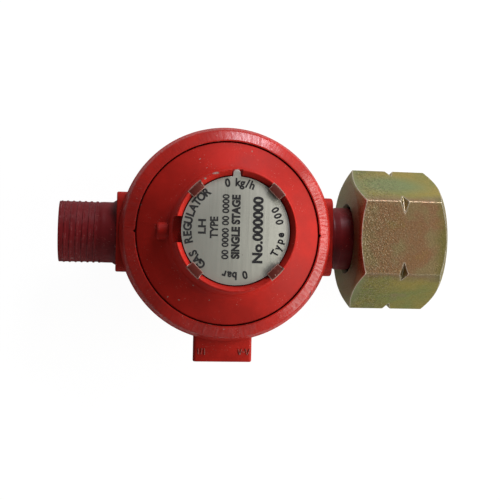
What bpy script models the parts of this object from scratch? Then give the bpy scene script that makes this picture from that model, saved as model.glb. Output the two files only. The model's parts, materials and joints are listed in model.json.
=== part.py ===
# Fixed-pressure gas regulator with a union nut at the inlet and a threaded outlet nipple.
# Metres. +X runs along the gas ports towards the union nut, +Z up the bonnet.
# The origin is on the bonnet axis, in the plane of the housing's flat back.
import math

import bmesh
import bpy
from mathutils import Matrix

# Overall
PORT_HEIGHT = 0.016          # gas port axis above the back face
RIM_RADIUS = 0.0269          # widest radius of the housing
RIM_RISE = 0.0140            # top of the rolled lip above the port axis
BOSS_STAND_OUT = 0.0007      # port faces beyond the rim
LUG_STAND_OUT = 0.0056       # blank boss's face beyond the rim
HUB_RISE = 0.0165            # crest of the hub above the lip
CLEARANCE = 0.0003           # gap between pieces that touch
RUNNING_GAP = 0.0003         # gap around pieces that slide or turn
WELD_DISTANCE = 0.00001      # corners closer than this are merged

# Housing
BACK_RADIUS = 0.0175         # flat of the back face
BACK_ROUNDING = 0.0035
BOWL_RADIUS = 0.0224
CHAMBER_RADIUS = 0.0195
FLOOR_THICKNESS = 0.0040
RIM_FOOT_RISE = 0.0015       # where the bowl flares into the rim, above the port axis
RIM_WALL = 0.0024
LIP_THICKNESS = 0.0016
LIP_OVERLAP = 0.0015         # how far the rolled lip reaches in over the bonnet
LIP_EDGE = 0.0003            # flat edge of the lip, beside the bonnet
LIP_SLOPE_WIDTH = 0.0026     # sloping band that the rolling leaves round the lip
LIP_SLOPE_DROP = 0.0013
SHOULDER_DROP = 0.0042       # where the rim's side meets its rounded shoulder
BOSS_WIDTH = 0.0202
BOSS_HEIGHT = 0.0180
LUG_WIDTH = 0.0152
LUG_HEIGHT = 0.0130
LUG_DRAFT = 0.0011           # how far each side of the blank boss slopes in towards the back
PORT_RADIUS = 0.0073         # tapped hole in either boss

# Diaphragm stack
DIAPHRAGM_THICKNESS = 0.0016
DIAPHRAGM_MIDDLE = 0.0012
BONNET_FLANGE = 0.0016
STEM_RADIUS = 0.0030
STEM_THREAD_RADIUS = 0.0020
PLATE_THICKNESS = 0.0011
UPPER_PLATE_RADIUS = 0.0125
LOWER_PLATE_RADIUS = 0.0115
STEM_NUT_FLATS = 0.0070
STEM_NUT_HEIGHT = 0.0026

# Bonnet
HUB_WALL = 0.0017            # hub beyond the label's edge
HUB_FOOT_FLARE = 0.00085
HUB_FOOT_RISE = 0.0034       # foot of the hub above the lip
LABEL_LEDGE = 0.00165        # ledge under the label's edge, beyond the bonnet's bore
LABEL_RADIUS = 0.01265
LABEL_THICKNESS = 0.0007
LABEL_DEPTH = 0.0013         # label face below the hub's crest
TAB_WIDTH = 0.00165
TAB_NOTCH = 0.0025
VENT_SLOT = 0.0061
VENT_SLOT_DEPTH = 0.0014     # below the label's shelf
STAKE_LENGTH = 0.0038
STAKE_OVERLAP = 0.00045      # how far a stake reaches in over the label
STAKE_THICKNESS = 0.0005
STAKE_MARGIN = 0.0001        # how far the tool's flat goes past the stake
VENT_HOOD_WIDTH = 0.0043
VENT_HOOD_LENGTH = 0.00345   # out from the hub's side
VENT_HOLE_RADIUS = 0.0008
VENT_HOLE_RISE = 0.0006      # hole above the middle of its hood

# Spring and adjuster
PLUG_THICKNESS = 0.0036
PLUG_SOCKET_FLATS = 0.0080
PLUG_HEADROOM = 0.0007       # room above the plug, under the label's shelf
SEAT_THICKNESS = 0.0011
SPRING_WIRE = 0.0020
SPRING_RADIUS = 0.0078       # middle of the wire
SPRING_TURNS = 3.6

# Valve
PIVOT_X = 0.0075
PIVOT_DROP = 0.0060          # lever's pivot below the port axis
LEVER_WIDTH = 0.0024
LEVER_ARM = 0.0012
LEVER_NOSE = 0.0010
PIN_RADIUS = 0.0010
GUIDE_WIDTH = 0.0110
GUIDE_RISE = 0.0050          # top of the valve guide above the port axis
GUIDE_START = 0.0055
PLUNGER_RADIUS = 0.0031
PLUNGER_START = 0.0037
PLUNGER_LENGTH = 0.0082
PAD_RADIUS = 0.0024
PAD_THICKNESS = 0.0015
NOZZLE_TIP = 0.0133
NOZZLE_SHOULDER = 0.0195
NOZZLE_RADIUS = 0.0045
NOZZLE_FLATS = 0.0110
NOZZLE_HEAD = 0.0024
ORIFICE_RADIUS = 0.0009
GASKET_THICKNESS = 0.0008

# Ports
NIPPLE_LENGTH = 0.0144       # out from the port face
NIPPLE_RADIUS = 0.0079
NIPPLE_NECK_RADIUS = 0.0078
NIPPLE_THREAD = 0.0111
NIPPLE_BORE = 0.0046
TAIL_LENGTH = 0.0193         # out from the port face
TAIL_RADIUS = 0.0079
TAIL_BEAD_RADIUS = 0.0082
TAIL_BORE = 0.0048
STUB_RADIUS = 0.0070         # part of nipple and tail inside the housing
SEAL_RADIUS = 0.0070
SEAL_WIDTH = 0.0020
SEAL_THICKNESS = 0.0018
SEAL_POCKET = 0.0011
STRAINER_LENGTH = 0.0080
STRAINER_WALL = 0.0006

# Union nut
NUT_STAND_OFF = 0.0054       # nut's near face out from the port face
NUT_LENGTH = 0.0230
NUT_FLATS = 0.0320
NUT_FACE_RADIUS = 0.0152
NUT_SHOULDER = 0.0040
NUT_THREAD_RADIUS = 0.0100
NUT_NOTCH_DEPTH = 0.00136
WASHER_THICKNESS = 0.0010
RING_THICKNESS = 0.0016
RING_GROOVE_DEPTH = 0.0008
RING_SPLIT = 0.0040

# Heights and reaches that follow the overall sizes
rim_top = PORT_HEIGHT + RIM_RISE
rim_foot = PORT_HEIGHT + RIM_FOOT_RISE
hub_top = rim_top + HUB_RISE
pivot_z = PORT_HEIGHT - PIVOT_DROP
guide_top = PORT_HEIGHT + GUIDE_RISE
boss_reach = RIM_RADIUS + BOSS_STAND_OUT
lug_reach = RIM_RADIUS + LUG_STAND_OUT
nipple_end = boss_reach + NIPPLE_LENGTH
tail_end = boss_reach + TAIL_LENGTH
nut_start = boss_reach + NUT_STAND_OFF

# Radii that follow the label
hub_radius = LABEL_RADIUS + HUB_WALL
hub_foot_radius = hub_radius + HUB_FOOT_FLARE
bonnet_bore = LABEL_RADIUS - LABEL_LEDGE
stake_reach = LABEL_RADIUS - STAKE_OVERLAP
vent_hood_end = hub_radius + VENT_HOOD_LENGTH

# Heights of the stack, from the lip down to the stem
lip_under = rim_top - LIP_THICKNESS
flange_top = lip_under - CLEARANCE
flange_under = flange_top - BONNET_FLANGE
rubber_top = flange_under - CLEARANCE
rubber_under = rubber_top - DIAPHRAGM_THICKNESS
seat_plane = rubber_under - CLEARANCE
counterbore = RIM_RADIUS - RIM_WALL
lip_radius = counterbore - LIP_OVERLAP
flange_radius = counterbore - CLEARANCE
middle_under = rubber_under - 0.0006
middle_top = middle_under + DIAPHRAGM_MIDDLE
lower_plate_top = middle_under - CLEARANCE
lower_plate_under = lower_plate_top - PLATE_THICKNESS
stem_shoulder = lower_plate_under - CLEARANCE
upper_plate_under = middle_top + CLEARANCE
upper_plate_top = upper_plate_under + PLATE_THICKNESS
stem_nut_under = upper_plate_top + CLEARANCE
stem_top = stem_nut_under + STEM_NUT_HEIGHT + 0.0005

# Heights of the hub, from the crest down to the spring
label_top = hub_top - LABEL_DEPTH
label_under = label_top - LABEL_THICKNESS
shelf = label_under - CLEARANCE
plug_top = shelf - PLUG_HEADROOM
plug_under = plug_top - PLUG_THICKNESS
seat_top = plug_under - CLEARANCE
seat_under = seat_top - SEAT_THICKNESS
spring_top = seat_under - CLEARANCE
spring_under = upper_plate_top + CLEARANCE
hub_foot = rim_top + HUB_FOOT_RISE

# Places along the ports
plunger_end = PLUNGER_START + PLUNGER_LENGTH
pad_start = plunger_end - PAD_THICKNESS + 0.0002
bore_end = NOZZLE_TIP + 0.0009
gasket_start = NOZZLE_SHOULDER + CLEARANCE
nozzle_head = gasket_start + GASKET_THICKNESS + CLEARANCE
tail_start = nozzle_head + NOZZLE_HEAD + CLEARANCE
tail_shoulder = boss_reach + CLEARANCE
nut_end = nut_start + NUT_LENGTH
nut_middle = nut_start + NUT_LENGTH / 2
shoulder_inside = nut_start + NUT_SHOULDER
washer_start = shoulder_inside + CLEARANCE
ring_start = washer_start + WASHER_THICKNESS + CLEARANCE
ring_end = ring_start + RING_THICKNESS

# Steps round a full turn
ROUND = 40
SMALL_ROUND = 24


def clear_scene():
    for item in list(bpy.data.objects):
        bpy.data.objects.remove(item, do_unlink=True)


def material(name, colour, roughness, metallic):
    found = bpy.data.materials.get(name)
    if found:
        return found
    made = bpy.data.materials.new(name)
    made.use_nodes = True
    shader = made.node_tree.nodes["Principled BSDF"]
    shader.inputs["Base Color"].default_value = (*colour, 1.0)
    shader.inputs["Roughness"].default_value = roughness
    shader.inputs["Metallic"].default_value = metallic
    return made


def finish_mesh(bm, name, finish, location=(0, 0, 0), smooth=True):
    # Closes seams, points the faces out and makes the object.
    bmesh.ops.remove_doubles(bm, verts=bm.verts, dist=1e-6)
    bmesh.ops.recalc_face_normals(bm, faces=bm.faces)
    mesh = bpy.data.meshes.new(name)
    bm.to_mesh(mesh)
    bm.free()
    if smooth:
        mesh.shade_smooth()
        mesh.set_sharp_from_angle(angle=math.radians(30))
    if finish:
        mesh.materials.append(finish)
    made = bpy.data.objects.new(name, mesh)
    made.location = location
    bpy.context.collection.objects.link(made)
    return made


def rounded(points, steps=3):
    # An outline whose corners (x, y, radius) become arcs. Corners given as (x, y) stay sharp.
    outline = []
    count = len(points)
    for index, point in enumerate(points):
        if len(point) == 2:
            outline.append(point)
            continue
        x, y, radius = point
        before = points[index - 1]
        after = points[(index + 1) % count]
        ax, ay = before[0] - x, before[1] - y
        bx, by = after[0] - x, after[1] - y
        a_length, b_length = math.hypot(ax, ay), math.hypot(bx, by)
        ax, ay, bx, by = ax / a_length, ay / a_length, bx / b_length, by / b_length
        half = math.acos(max(-1.0, min(1.0, ax * bx + ay * by))) / 2
        reach = min(radius / math.tan(half), 0.98 * a_length, 0.98 * b_length)
        radius = reach * math.tan(half)
        middle_x, middle_y = ax + bx, ay + by
        middle_length = math.hypot(middle_x, middle_y)
        away = radius / math.sin(half)
        cx, cy = x + middle_x / middle_length * away, y + middle_y / middle_length * away
        start = math.atan2(y + ay * reach - cy, x + ax * reach - cx)
        stop = math.atan2(y + by * reach - cy, x + bx * reach - cx)
        sweep = (stop - start + math.pi) % (2 * math.pi) - math.pi
        for step in range(steps + 1):
            angle = start + sweep * step / steps
            outline.append((cx + radius * math.cos(angle), cy + radius * math.sin(angle)))
    return outline


def turned(name, outline, finish=None, along="Z", steps=ROUND, location=(0, 0, 0)):
    # Spins an outline of (radius, distance along the axis). One that starts and ends on the
    # axis makes a solid body, any other makes a ring. A tool has no finish, and is turned by
    # a third of a step so that its corners miss those of the piece it cuts.
    bm = bmesh.new()
    verts = [bm.verts.new((radius, 0, distance)) for radius, distance in outline]
    edges = [bm.edges.new(pair) for pair in zip(verts, verts[1:])]
    if outline[0][0] > 0 or outline[-1][0] > 0:
        edges.append(bm.edges.new((verts[-1], verts[0])))
    bmesh.ops.spin(bm, geom=verts + edges, cent=(0, 0, 0), axis=(0, 0, 1), angle=2 * math.pi,
                   steps=steps, use_merge=True, use_duplicate=False)
    bmesh.ops.remove_doubles(bm, verts=bm.verts, dist=1e-6)
    middles = [vert for vert in bm.verts if vert.co.xy.length < 1e-7]
    bmesh.ops.dissolve_verts(bm, verts=middles)
    if not finish:
        bm.transform(Matrix.Rotation(2 * math.pi / steps / 3, 4, "Z"))
    if along == "X":
        bm.transform(Matrix.Rotation(math.pi / 2, 4, "Y"))
    if along == "Y":
        bm.transform(Matrix.Rotation(-math.pi / 2, 4, "X"))
    return finish_mesh(bm, name, finish, location)


def port_turned(name, outline, finish=None, steps=ROUND):
    # A turned piece on the gas port axis, distances measured along X from the bonnet axis.
    return turned(name, outline, finish, "X", steps, (0, 0, PORT_HEIGHT))


def ring_outline(inner, outer, start, end):
    return [(inner, start), (outer, start), (outer, end), (inner, end)]


def rod_outline(radius, start, end):
    return [(0, start), (radius, start), (radius, end), (0, end)]


def prism(name, outline, low, high, finish=None, plane="XY", location=(0, 0, 0), smooth=True):
    # Extrudes a flat outline from low to high, square to its plane.
    bm = bmesh.new()
    face = bm.faces.new([bm.verts.new((x, y, low)) for x, y in outline])
    raised = bmesh.ops.extrude_face_region(bm, geom=[face])["geom"]
    bmesh.ops.translate(bm, vec=(0, 0, high - low),
                        verts=[item for item in raised if isinstance(item, bmesh.types.BMVert)])
    if plane == "XZ":
        bm.transform(Matrix.Rotation(math.pi / 2, 4, "X"))
    if plane == "YZ":
        bm.transform(Matrix.Rotation(math.pi / 2, 4, "Z") @ Matrix.Rotation(math.pi / 2, 4, "X"))
    return finish_mesh(bm, name, finish, location, smooth)


def block(name, low, high, finish=None):
    outline = [(low[0], low[1]), (high[0], low[1]), (high[0], high[1]), (low[0], high[1])]
    return prism(name, outline, low[2], high[2], finish, smooth=False)


def circle(radius, steps=SMALL_ROUND, turn=0.0):
    corners = [turn + 2 * math.pi * step / steps for step in range(steps)]
    return [(radius * math.cos(angle), radius * math.sin(angle)) for angle in corners]


def hexagon(flats):
    return circle(flats / math.sqrt(3), 6)


def boss_outline(width, height, radius, draft=0.0):
    # A rounded rectangle, narrower at the bottom by the draft on either side.
    bottom = width / 2 - draft
    corners = [(-bottom, -height / 2, radius), (bottom, -height / 2, radius),
               (width / 2, height / 2, radius), (-width / 2, height / 2, radius)]
    return rounded(corners)


def combine(target, tool, operation):
    tool.hide_render = True
    tool.display_type = "WIRE"
    step = target.modifiers.new(tool.name, "BOOLEAN")
    step.object = tool
    step.operation = operation
    step.solver = "EXACT"


def tidy(target):
    # Merges the near-double corners that Booleans leave where two edges almost meet.
    weld = target.modifiers.new("tidy", "WELD")
    weld.merge_threshold = WELD_DISTANCE


def cut(target, tool):
    combine(target, tool, "DIFFERENCE")


def join(target, tool):
    combine(target, tool, "UNION")


def make_housing(paint):
    housing = turned("housing", rounded([
        (0, 0), (BACK_RADIUS + BACK_ROUNDING, 0, BACK_ROUNDING), (BOWL_RADIUS, rim_foot - 0.002, 0.0015),
        (RIM_RADIUS, rim_foot, 0.0012), (RIM_RADIUS, rim_top - SHOULDER_DROP, 0.0012),
        (lip_radius + LIP_EDGE + LIP_SLOPE_WIDTH, rim_top - LIP_SLOPE_DROP, 0.0012),
        (lip_radius + LIP_EDGE, rim_top, 0.0003), (0, rim_top)], 3), paint)

    boss = boss_outline(BOSS_WIDTH, BOSS_HEIGHT, 0.0030)
    inner = CHAMBER_RADIUS * 0.6
    port_axis = (0, 0, PORT_HEIGHT)
    join(housing, prism("inlet_boss", boss, inner, boss_reach, plane="YZ", location=port_axis))
    join(housing, prism("outlet_boss", boss, -boss_reach, -inner, plane="YZ", location=port_axis))
    lug = boss_outline(LUG_WIDTH, LUG_HEIGHT, 0.0015, LUG_DRAFT)
    join(housing, prism("blank_boss", lug, inner, lug_reach, plane="XZ", location=port_axis))

    cut(housing, turned("chamber", rounded([
        (0, FLOOR_THICKNESS), (CHAMBER_RADIUS, FLOOR_THICKNESS, 0.0020),
        (CHAMBER_RADIUS, seat_plane), (counterbore, seat_plane), (counterbore, lip_under),
        (lip_radius, lip_under), (lip_radius, rim_top + 0.001), (0, rim_top + 0.001)])))

    join(housing, block("valve_guide", (GUIDE_START, -GUIDE_WIDTH / 2, FLOOR_THICKNESS / 2),
                        (CHAMBER_RADIUS + 0.0010, GUIDE_WIDTH / 2, guide_top)))
    guide_bore = PLUNGER_RADIUS + RUNNING_GAP
    nozzle_bore = NOZZLE_RADIUS + CLEARANCE
    cut(housing, port_turned("inlet_bore", [
        (0, GUIDE_START - 0.001), (guide_bore, GUIDE_START - 0.001), (guide_bore, bore_end),
        (nozzle_bore, bore_end), (nozzle_bore, NOZZLE_SHOULDER), (PORT_RADIUS, NOZZLE_SHOULDER),
        (PORT_RADIUS, boss_reach + 0.001), (0, boss_reach + 0.001)]))
    cut(housing, port_turned("outlet_bore",
                             rod_outline(PORT_RADIUS, -boss_reach - 0.001, -CHAMBER_RADIUS * 0.8)))
    slot = LEVER_WIDTH / 2 + RUNNING_GAP
    cut(housing, block("lever_slot", (GUIDE_START - 0.001, -slot, pivot_z - 0.0045),
                       (PIVOT_X + 0.0028, slot, PORT_HEIGHT)))
    window = NOZZLE_TIP - 0.0012
    cut(housing, block("gas_window", (window, -GUIDE_WIDTH, PORT_HEIGHT - 0.0022),
                       (bore_end - 0.0002, GUIDE_WIDTH, PORT_HEIGHT + 0.0022)))
    cut(housing, turned("pin_hole", rod_outline(PIN_RADIUS + CLEARANCE, -0.008, 0.008),
                        None, "Y", SMALL_ROUND, (PIVOT_X, 0, pivot_z)))
    tidy(housing)


def make_bonnet(paint):
    crest = hub_radius - 0.00035
    label_hole = LABEL_RADIUS + CLEARANCE
    step_radius = lip_radius - CLEARANCE
    bonnet = turned("bonnet", rounded([
        (bonnet_bore, hub_foot + 0.0006), (bonnet_bore, shelf), (label_hole, shelf),
        (label_hole, label_top), (crest, hub_top, 0.0002), (hub_radius, hub_top - 0.0005, 0.0004),
        (hub_foot_radius, hub_foot, 0.0030), (step_radius, rim_top - 0.0003, 0.0003),
        (step_radius, flange_top), (flange_radius, flange_top), (flange_radius, flange_under),
        (CHAMBER_RADIUS + 0.0010, flange_under), (UPPER_PLATE_RADIUS + 0.0030, rim_top + 0.0008)],
        2), paint)

    high = hub_top + 0.001
    outside = hub_radius + 0.002
    cut(bonnet, block("tab_notch", (-TAB_NOTCH / 2, bonnet_bore + 0.001, shelf),
                      (TAB_NOTCH / 2, outside, high)))
    cut(bonnet, block("vent_slot", (-outside, -VENT_SLOT / 2, shelf - VENT_SLOT_DEPTH),
                      (-bonnet_bore - 0.001, VENT_SLOT / 2, high)))
    stake_under = label_top + CLEARANCE
    stake_top = stake_under + STAKE_THICKNESS
    stake_side = STAKE_LENGTH / 2
    flat_side = stake_side + STAKE_MARGIN
    for number in range(4):
        turn = Matrix.Rotation(math.radians(45 + 90 * number), 4, "Z")
        flat = block(f"stake_flat_{number}", (LABEL_RADIUS - 0.0004, -flat_side, stake_top - 0.00005),
                     (outside, flat_side, high))
        flat.data.transform(turn)
        cut(bonnet, flat)
        stake = block(f"stake_{number}", (stake_reach, -stake_side, stake_under),
                      (crest - 0.0004, stake_side, stake_top))
        stake.data.transform(turn)
        join(bonnet, stake)

    hood_radius = VENT_HOOD_WIDTH / 2
    hood_height = hub_foot - 0.0004
    join(bonnet, prism("vent_hood", circle(hood_radius, turn=0.05), -vent_hood_end,
                       -hub_radius + 0.0012, plane="YZ", location=(0, 0, hood_height)))
    cut(bonnet, prism("vent_hole", circle(VENT_HOLE_RADIUS, 16, 0.23), -vent_hood_end - 0.001,
                      -bonnet_bore + 0.002, plane="YZ",
                      location=(0, 0, hood_height + VENT_HOLE_RISE)))
    tidy(bonnet)


def make_label(metal):
    # A disc whose tab sits in the notch at the top of the hub.
    half = math.asin(TAB_WIDTH / 2 / LABEL_RADIUS)
    steps = 60
    outline = []
    for step in range(steps + 1):
        angle = math.pi / 2 + half + (2 * math.pi - 2 * half) * step / steps
        outline.append((LABEL_RADIUS * math.cos(angle), LABEL_RADIUS * math.sin(angle)))
    tip = hub_radius - 0.0001 - TAB_WIDTH / 2
    for step in range(7):
        angle = math.pi * step / 6
        outline.append((TAB_WIDTH / 2 * math.cos(angle), tip + TAB_WIDTH / 2 * math.sin(angle)))
    prism("label_plate", outline, label_under, label_top, metal)


def make_diaphragm_stack(rubber, steel, brass):
    hole = STEM_THREAD_RADIUS + CLEARANCE
    ridge = (UPPER_PLATE_RADIUS + CHAMBER_RADIUS) / 2 + 0.0008
    half_ridge = (CHAMBER_RADIUS - UPPER_PLATE_RADIUS) / 2
    crest = rubber_top + 0.0015
    turned("diaphragm", rounded([
        (hole, middle_under), (ridge - half_ridge * 0.62, middle_under),
        (ridge, crest - DIAPHRAGM_MIDDLE, 0.0022), (CHAMBER_RADIUS - 0.0001, rubber_under),
        (flange_radius, rubber_under), (flange_radius, rubber_top),
        (CHAMBER_RADIUS + 0.0006, rubber_top), (ridge, crest, 0.0030),
        (UPPER_PLATE_RADIUS + 0.0004, middle_top), (hole, middle_top)], 2), rubber, steps=32)
    turned("lower_diaphragm_plate", rounded([
        (hole, lower_plate_under), (LOWER_PLATE_RADIUS, lower_plate_under, 0.0004),
        (LOWER_PLATE_RADIUS, lower_plate_top), (hole, lower_plate_top)], 1), steel, steps=32)
    cup = SPRING_RADIUS + SPRING_WIRE / 2 + 0.0007
    turned("upper_diaphragm_plate", rounded([
        (hole, upper_plate_under), (UPPER_PLATE_RADIUS, upper_plate_under, 0.0005),
        (UPPER_PLATE_RADIUS, upper_plate_top + 0.0013), (cup, upper_plate_top + 0.0013),
        (cup, upper_plate_top), (hole, upper_plate_top)], 1), steel, steps=32)

    eye_under = pivot_z - LEVER_NOSE - RUNNING_GAP
    stem_bottom = eye_under - 0.0017
    stem = turned("diaphragm_stem", rounded([
        (0, stem_bottom), (STEM_RADIUS, stem_bottom, 0.0006), (STEM_RADIUS, stem_shoulder),
        (STEM_THREAD_RADIUS, stem_shoulder), (STEM_THREAD_RADIUS, stem_top, 0.0004), (0, stem_top)],
        2), brass, steps=20)
    half = LEVER_WIDTH / 2 + RUNNING_GAP
    cut(stem, block("stem_eye", (-0.004, -half, eye_under),
                    (0.004, half, pivot_z + LEVER_NOSE + RUNNING_GAP)))
    tidy(stem)
    nut = prism("stem_nut", hexagon(STEM_NUT_FLATS), stem_nut_under,
                stem_nut_under + STEM_NUT_HEIGHT, steel, smooth=False)
    cut(nut, turned("stem_nut_hole", rod_outline(hole, stem_nut_under - 0.001, stem_top + 0.001),
                    steps=SMALL_ROUND))
    tidy(nut)


def make_spring(steel):
    # A helix of round wire between the upper plate and the spring seat.
    curve = bpy.data.curves.new("main_spring", "CURVE")
    curve.dimensions = "3D"
    curve.bevel_depth = SPRING_WIRE / 2
    curve.bevel_resolution = 2
    curve.use_fill_caps = True
    count = round(SPRING_TURNS * 16)
    low = spring_under + SPRING_WIRE / 2
    high = spring_top - SPRING_WIRE / 2
    spline = curve.splines.new("POLY")
    spline.points.add(count)
    for step in range(count + 1):
        share = step / count
        angle = 2 * math.pi * SPRING_TURNS * share
        spline.points[step].co = (SPRING_RADIUS * math.cos(angle), SPRING_RADIUS * math.sin(angle),
                                  low + (high - low) * share, 1)
    curve.materials.append(steel)
    spring = bpy.data.objects.new("main_spring", curve)
    bpy.context.collection.objects.link(spring)


def make_adjuster(steel, brass):
    seat_radius = bonnet_bore - 0.0010
    centring = SPRING_RADIUS - SPRING_WIRE / 2 - 0.0008
    turned("spring_seat", rounded([
        (0, seat_under - 0.0010), (centring, seat_under - 0.0010, 0.0003), (centring, seat_under),
        (seat_radius, seat_under, 0.0003), (seat_radius, seat_top), (0, seat_top)], 1),
        steel, steps=32)
    plug_radius = bonnet_bore - RUNNING_GAP
    plug = turned("adjusting_plug", [
        (0, plug_under), (plug_radius - 0.0004, plug_under), (plug_radius, plug_under + 0.0004),
        (plug_radius, plug_top - 0.0004), (plug_radius - 0.0004, plug_top), (0, plug_top)], brass,
        steps=32)
    cut(plug, prism("plug_socket", hexagon(PLUG_SOCKET_FLATS), plug_top - 0.0026, plug_top + 0.001))
    tidy(plug)


def make_valve(steel, brass, rubber):
    # The lever's long arm ends in the stem's eye and its short arm in the plunger's slot.
    rise = PORT_HEIGHT - pivot_z
    nose = LEVER_NOSE
    arm = LEVER_ARM / 2
    boss = PIN_RADIUS + 0.0012
    outline = []
    spread = math.asin(arm / nose)
    for step in range(9):
        angle = spread + (2 * math.pi - 2 * spread) * step / 8
        outline.append((-PIVOT_X + nose * math.cos(angle), nose * math.sin(angle)))
    corner = math.asin(arm / boss)
    for step in range(13):
        angle = -math.pi + corner + (1.5 * math.pi - 2 * corner) * step / 12
        outline.append((boss * math.cos(angle), boss * math.sin(angle)))
    for step in range(9):
        angle = -math.pi / 2 + spread + (2 * math.pi - 2 * spread) * step / 8
        outline.append((nose * math.cos(angle), rise + nose * math.sin(angle)))
    outline.append((-arm, arm + 0.0006))
    outline.append((-arm - 0.0006, arm))
    lever = prism("valve_lever", outline, -LEVER_WIDTH / 2, LEVER_WIDTH / 2, steel, "XZ",
                  (PIVOT_X, 0, pivot_z))
    cut(lever, turned("lever_hole", rod_outline(PIN_RADIUS + RUNNING_GAP, -0.003, 0.003),
                      None, "Y", SMALL_ROUND, (PIVOT_X, 0, pivot_z)))
    tidy(lever)
    pin_half = GUIDE_WIDTH / 2 - CLEARANCE
    turned("lever_pin", rod_outline(PIN_RADIUS, -pin_half, pin_half), steel, "Y", 24,
           (PIVOT_X, 0, pivot_z))

    pocket = PAD_RADIUS + CLEARANCE
    plunger = port_turned("valve_plunger", rounded([
        (0, PLUNGER_START), (PLUNGER_RADIUS, PLUNGER_START, 0.0005), (PLUNGER_RADIUS, plunger_end),
        (pocket, plunger_end), (pocket, pad_start - CLEARANCE), (0, pad_start - CLEARANCE)], 2),
        brass, SMALL_ROUND)
    half = LEVER_WIDTH / 2 + RUNNING_GAP
    reach = nose + RUNNING_GAP
    cut(plunger, block("plunger_slot", (PIVOT_X - reach, -half, pivot_z),
                       (PIVOT_X + reach, half, PORT_HEIGHT + reach + 0.0001)))
    tidy(plunger)
    port_turned("valve_seat_pad", rod_outline(PAD_RADIUS, pad_start, pad_start + PAD_THICKNESS),
                rubber, SMALL_ROUND)

    nozzle = turned("inlet_nozzle", [
        (ORIFICE_RADIUS, NOZZLE_TIP), (0.0014, NOZZLE_TIP), (0.0020, bore_end + CLEARANCE),
        (NOZZLE_RADIUS, bore_end + CLEARANCE), (NOZZLE_RADIUS, nozzle_head + 0.0005),
        (0.0025, nozzle_head + 0.0005), (0.0025, bore_end + 0.0028),
        (ORIFICE_RADIUS, bore_end + 0.0020)], brass, "X", SMALL_ROUND, (0, 0, PORT_HEIGHT))
    head = prism("nozzle_head", hexagon(NOZZLE_FLATS), nozzle_head, nozzle_head + NOZZLE_HEAD,
                 None, "YZ", (0, 0, PORT_HEIGHT), False)
    cut(head, port_turned("nozzle_socket", rod_outline(0.0026, nozzle_head - 0.001, tail_start),
                          steps=SMALL_ROUND))
    join(nozzle, head)
    tidy(nozzle)
    port_turned("nozzle_gasket", ring_outline(NOZZLE_RADIUS + CLEARANCE, PORT_RADIUS - 0.0004,
                                              gasket_start, gasket_start + GASKET_THICKNESS),
                rubber, SMALL_ROUND)


def make_ports(paint, rubber, gauze):
    thread_start = nipple_end - NIPPLE_THREAD
    port_turned("outlet_nipple", rounded([
        (NIPPLE_BORE, -nipple_end), (NIPPLE_RADIUS - 0.0006, -nipple_end),
        (NIPPLE_RADIUS, -nipple_end + 0.0006), (NIPPLE_RADIUS, -thread_start),
        (NIPPLE_NECK_RADIUS, -thread_start + 0.0004), (NIPPLE_NECK_RADIUS, -boss_reach - CLEARANCE),
        (STUB_RADIUS, -boss_reach - CLEARANCE), (STUB_RADIUS, -CHAMBER_RADIUS - 0.0006),
        (NIPPLE_BORE, -CHAMBER_RADIUS - 0.0006)]), paint, 32)

    groove = TAIL_RADIUS - RING_GROOVE_DEPTH
    pocket = tail_end - SEAL_POCKET
    port_turned("inlet_tail", rounded([
        (TAIL_BORE, tail_start), (STUB_RADIUS, tail_start), (STUB_RADIUS, tail_shoulder),
        (NIPPLE_NECK_RADIUS, tail_shoulder), (NIPPLE_NECK_RADIUS, tail_shoulder + 0.0008, 0.0006),
        (TAIL_BEAD_RADIUS, tail_shoulder + 0.0022, 0.0010),
        (TAIL_BEAD_RADIUS, nut_start + 0.0003, 0.0008), (TAIL_RADIUS, nut_start + 0.0012),
        (TAIL_RADIUS, ring_start - CLEARANCE),
        (groove, ring_start - CLEARANCE), (groove, ring_end + CLEARANCE),
        (TAIL_RADIUS, ring_end + CLEARANCE), (TAIL_RADIUS, tail_end),
        (SEAL_RADIUS + CLEARANCE, tail_end), (SEAL_RADIUS + CLEARANCE, pocket), (TAIL_BORE, pocket)],
        1), paint, 32)
    seal_start = pocket + CLEARANCE
    port_turned("inlet_seal", ring_outline(SEAL_RADIUS - SEAL_WIDTH, SEAL_RADIUS, seal_start,
                                           seal_start + SEAL_THICKNESS), rubber, 32)
    outer = TAIL_BORE - CLEARANCE
    inner = outer - STRAINER_WALL
    mouth = pocket - CLEARANCE
    port_turned("inlet_strainer", rounded([
        (0, mouth - STRAINER_LENGTH), (outer, mouth - STRAINER_LENGTH, 0.0020), (outer, mouth),
        (inner, mouth), (inner, mouth - STRAINER_LENGTH + STRAINER_WALL, 0.0016),
        (0, mouth - STRAINER_LENGTH + STRAINER_WALL)]), gauze, SMALL_ROUND)


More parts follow.
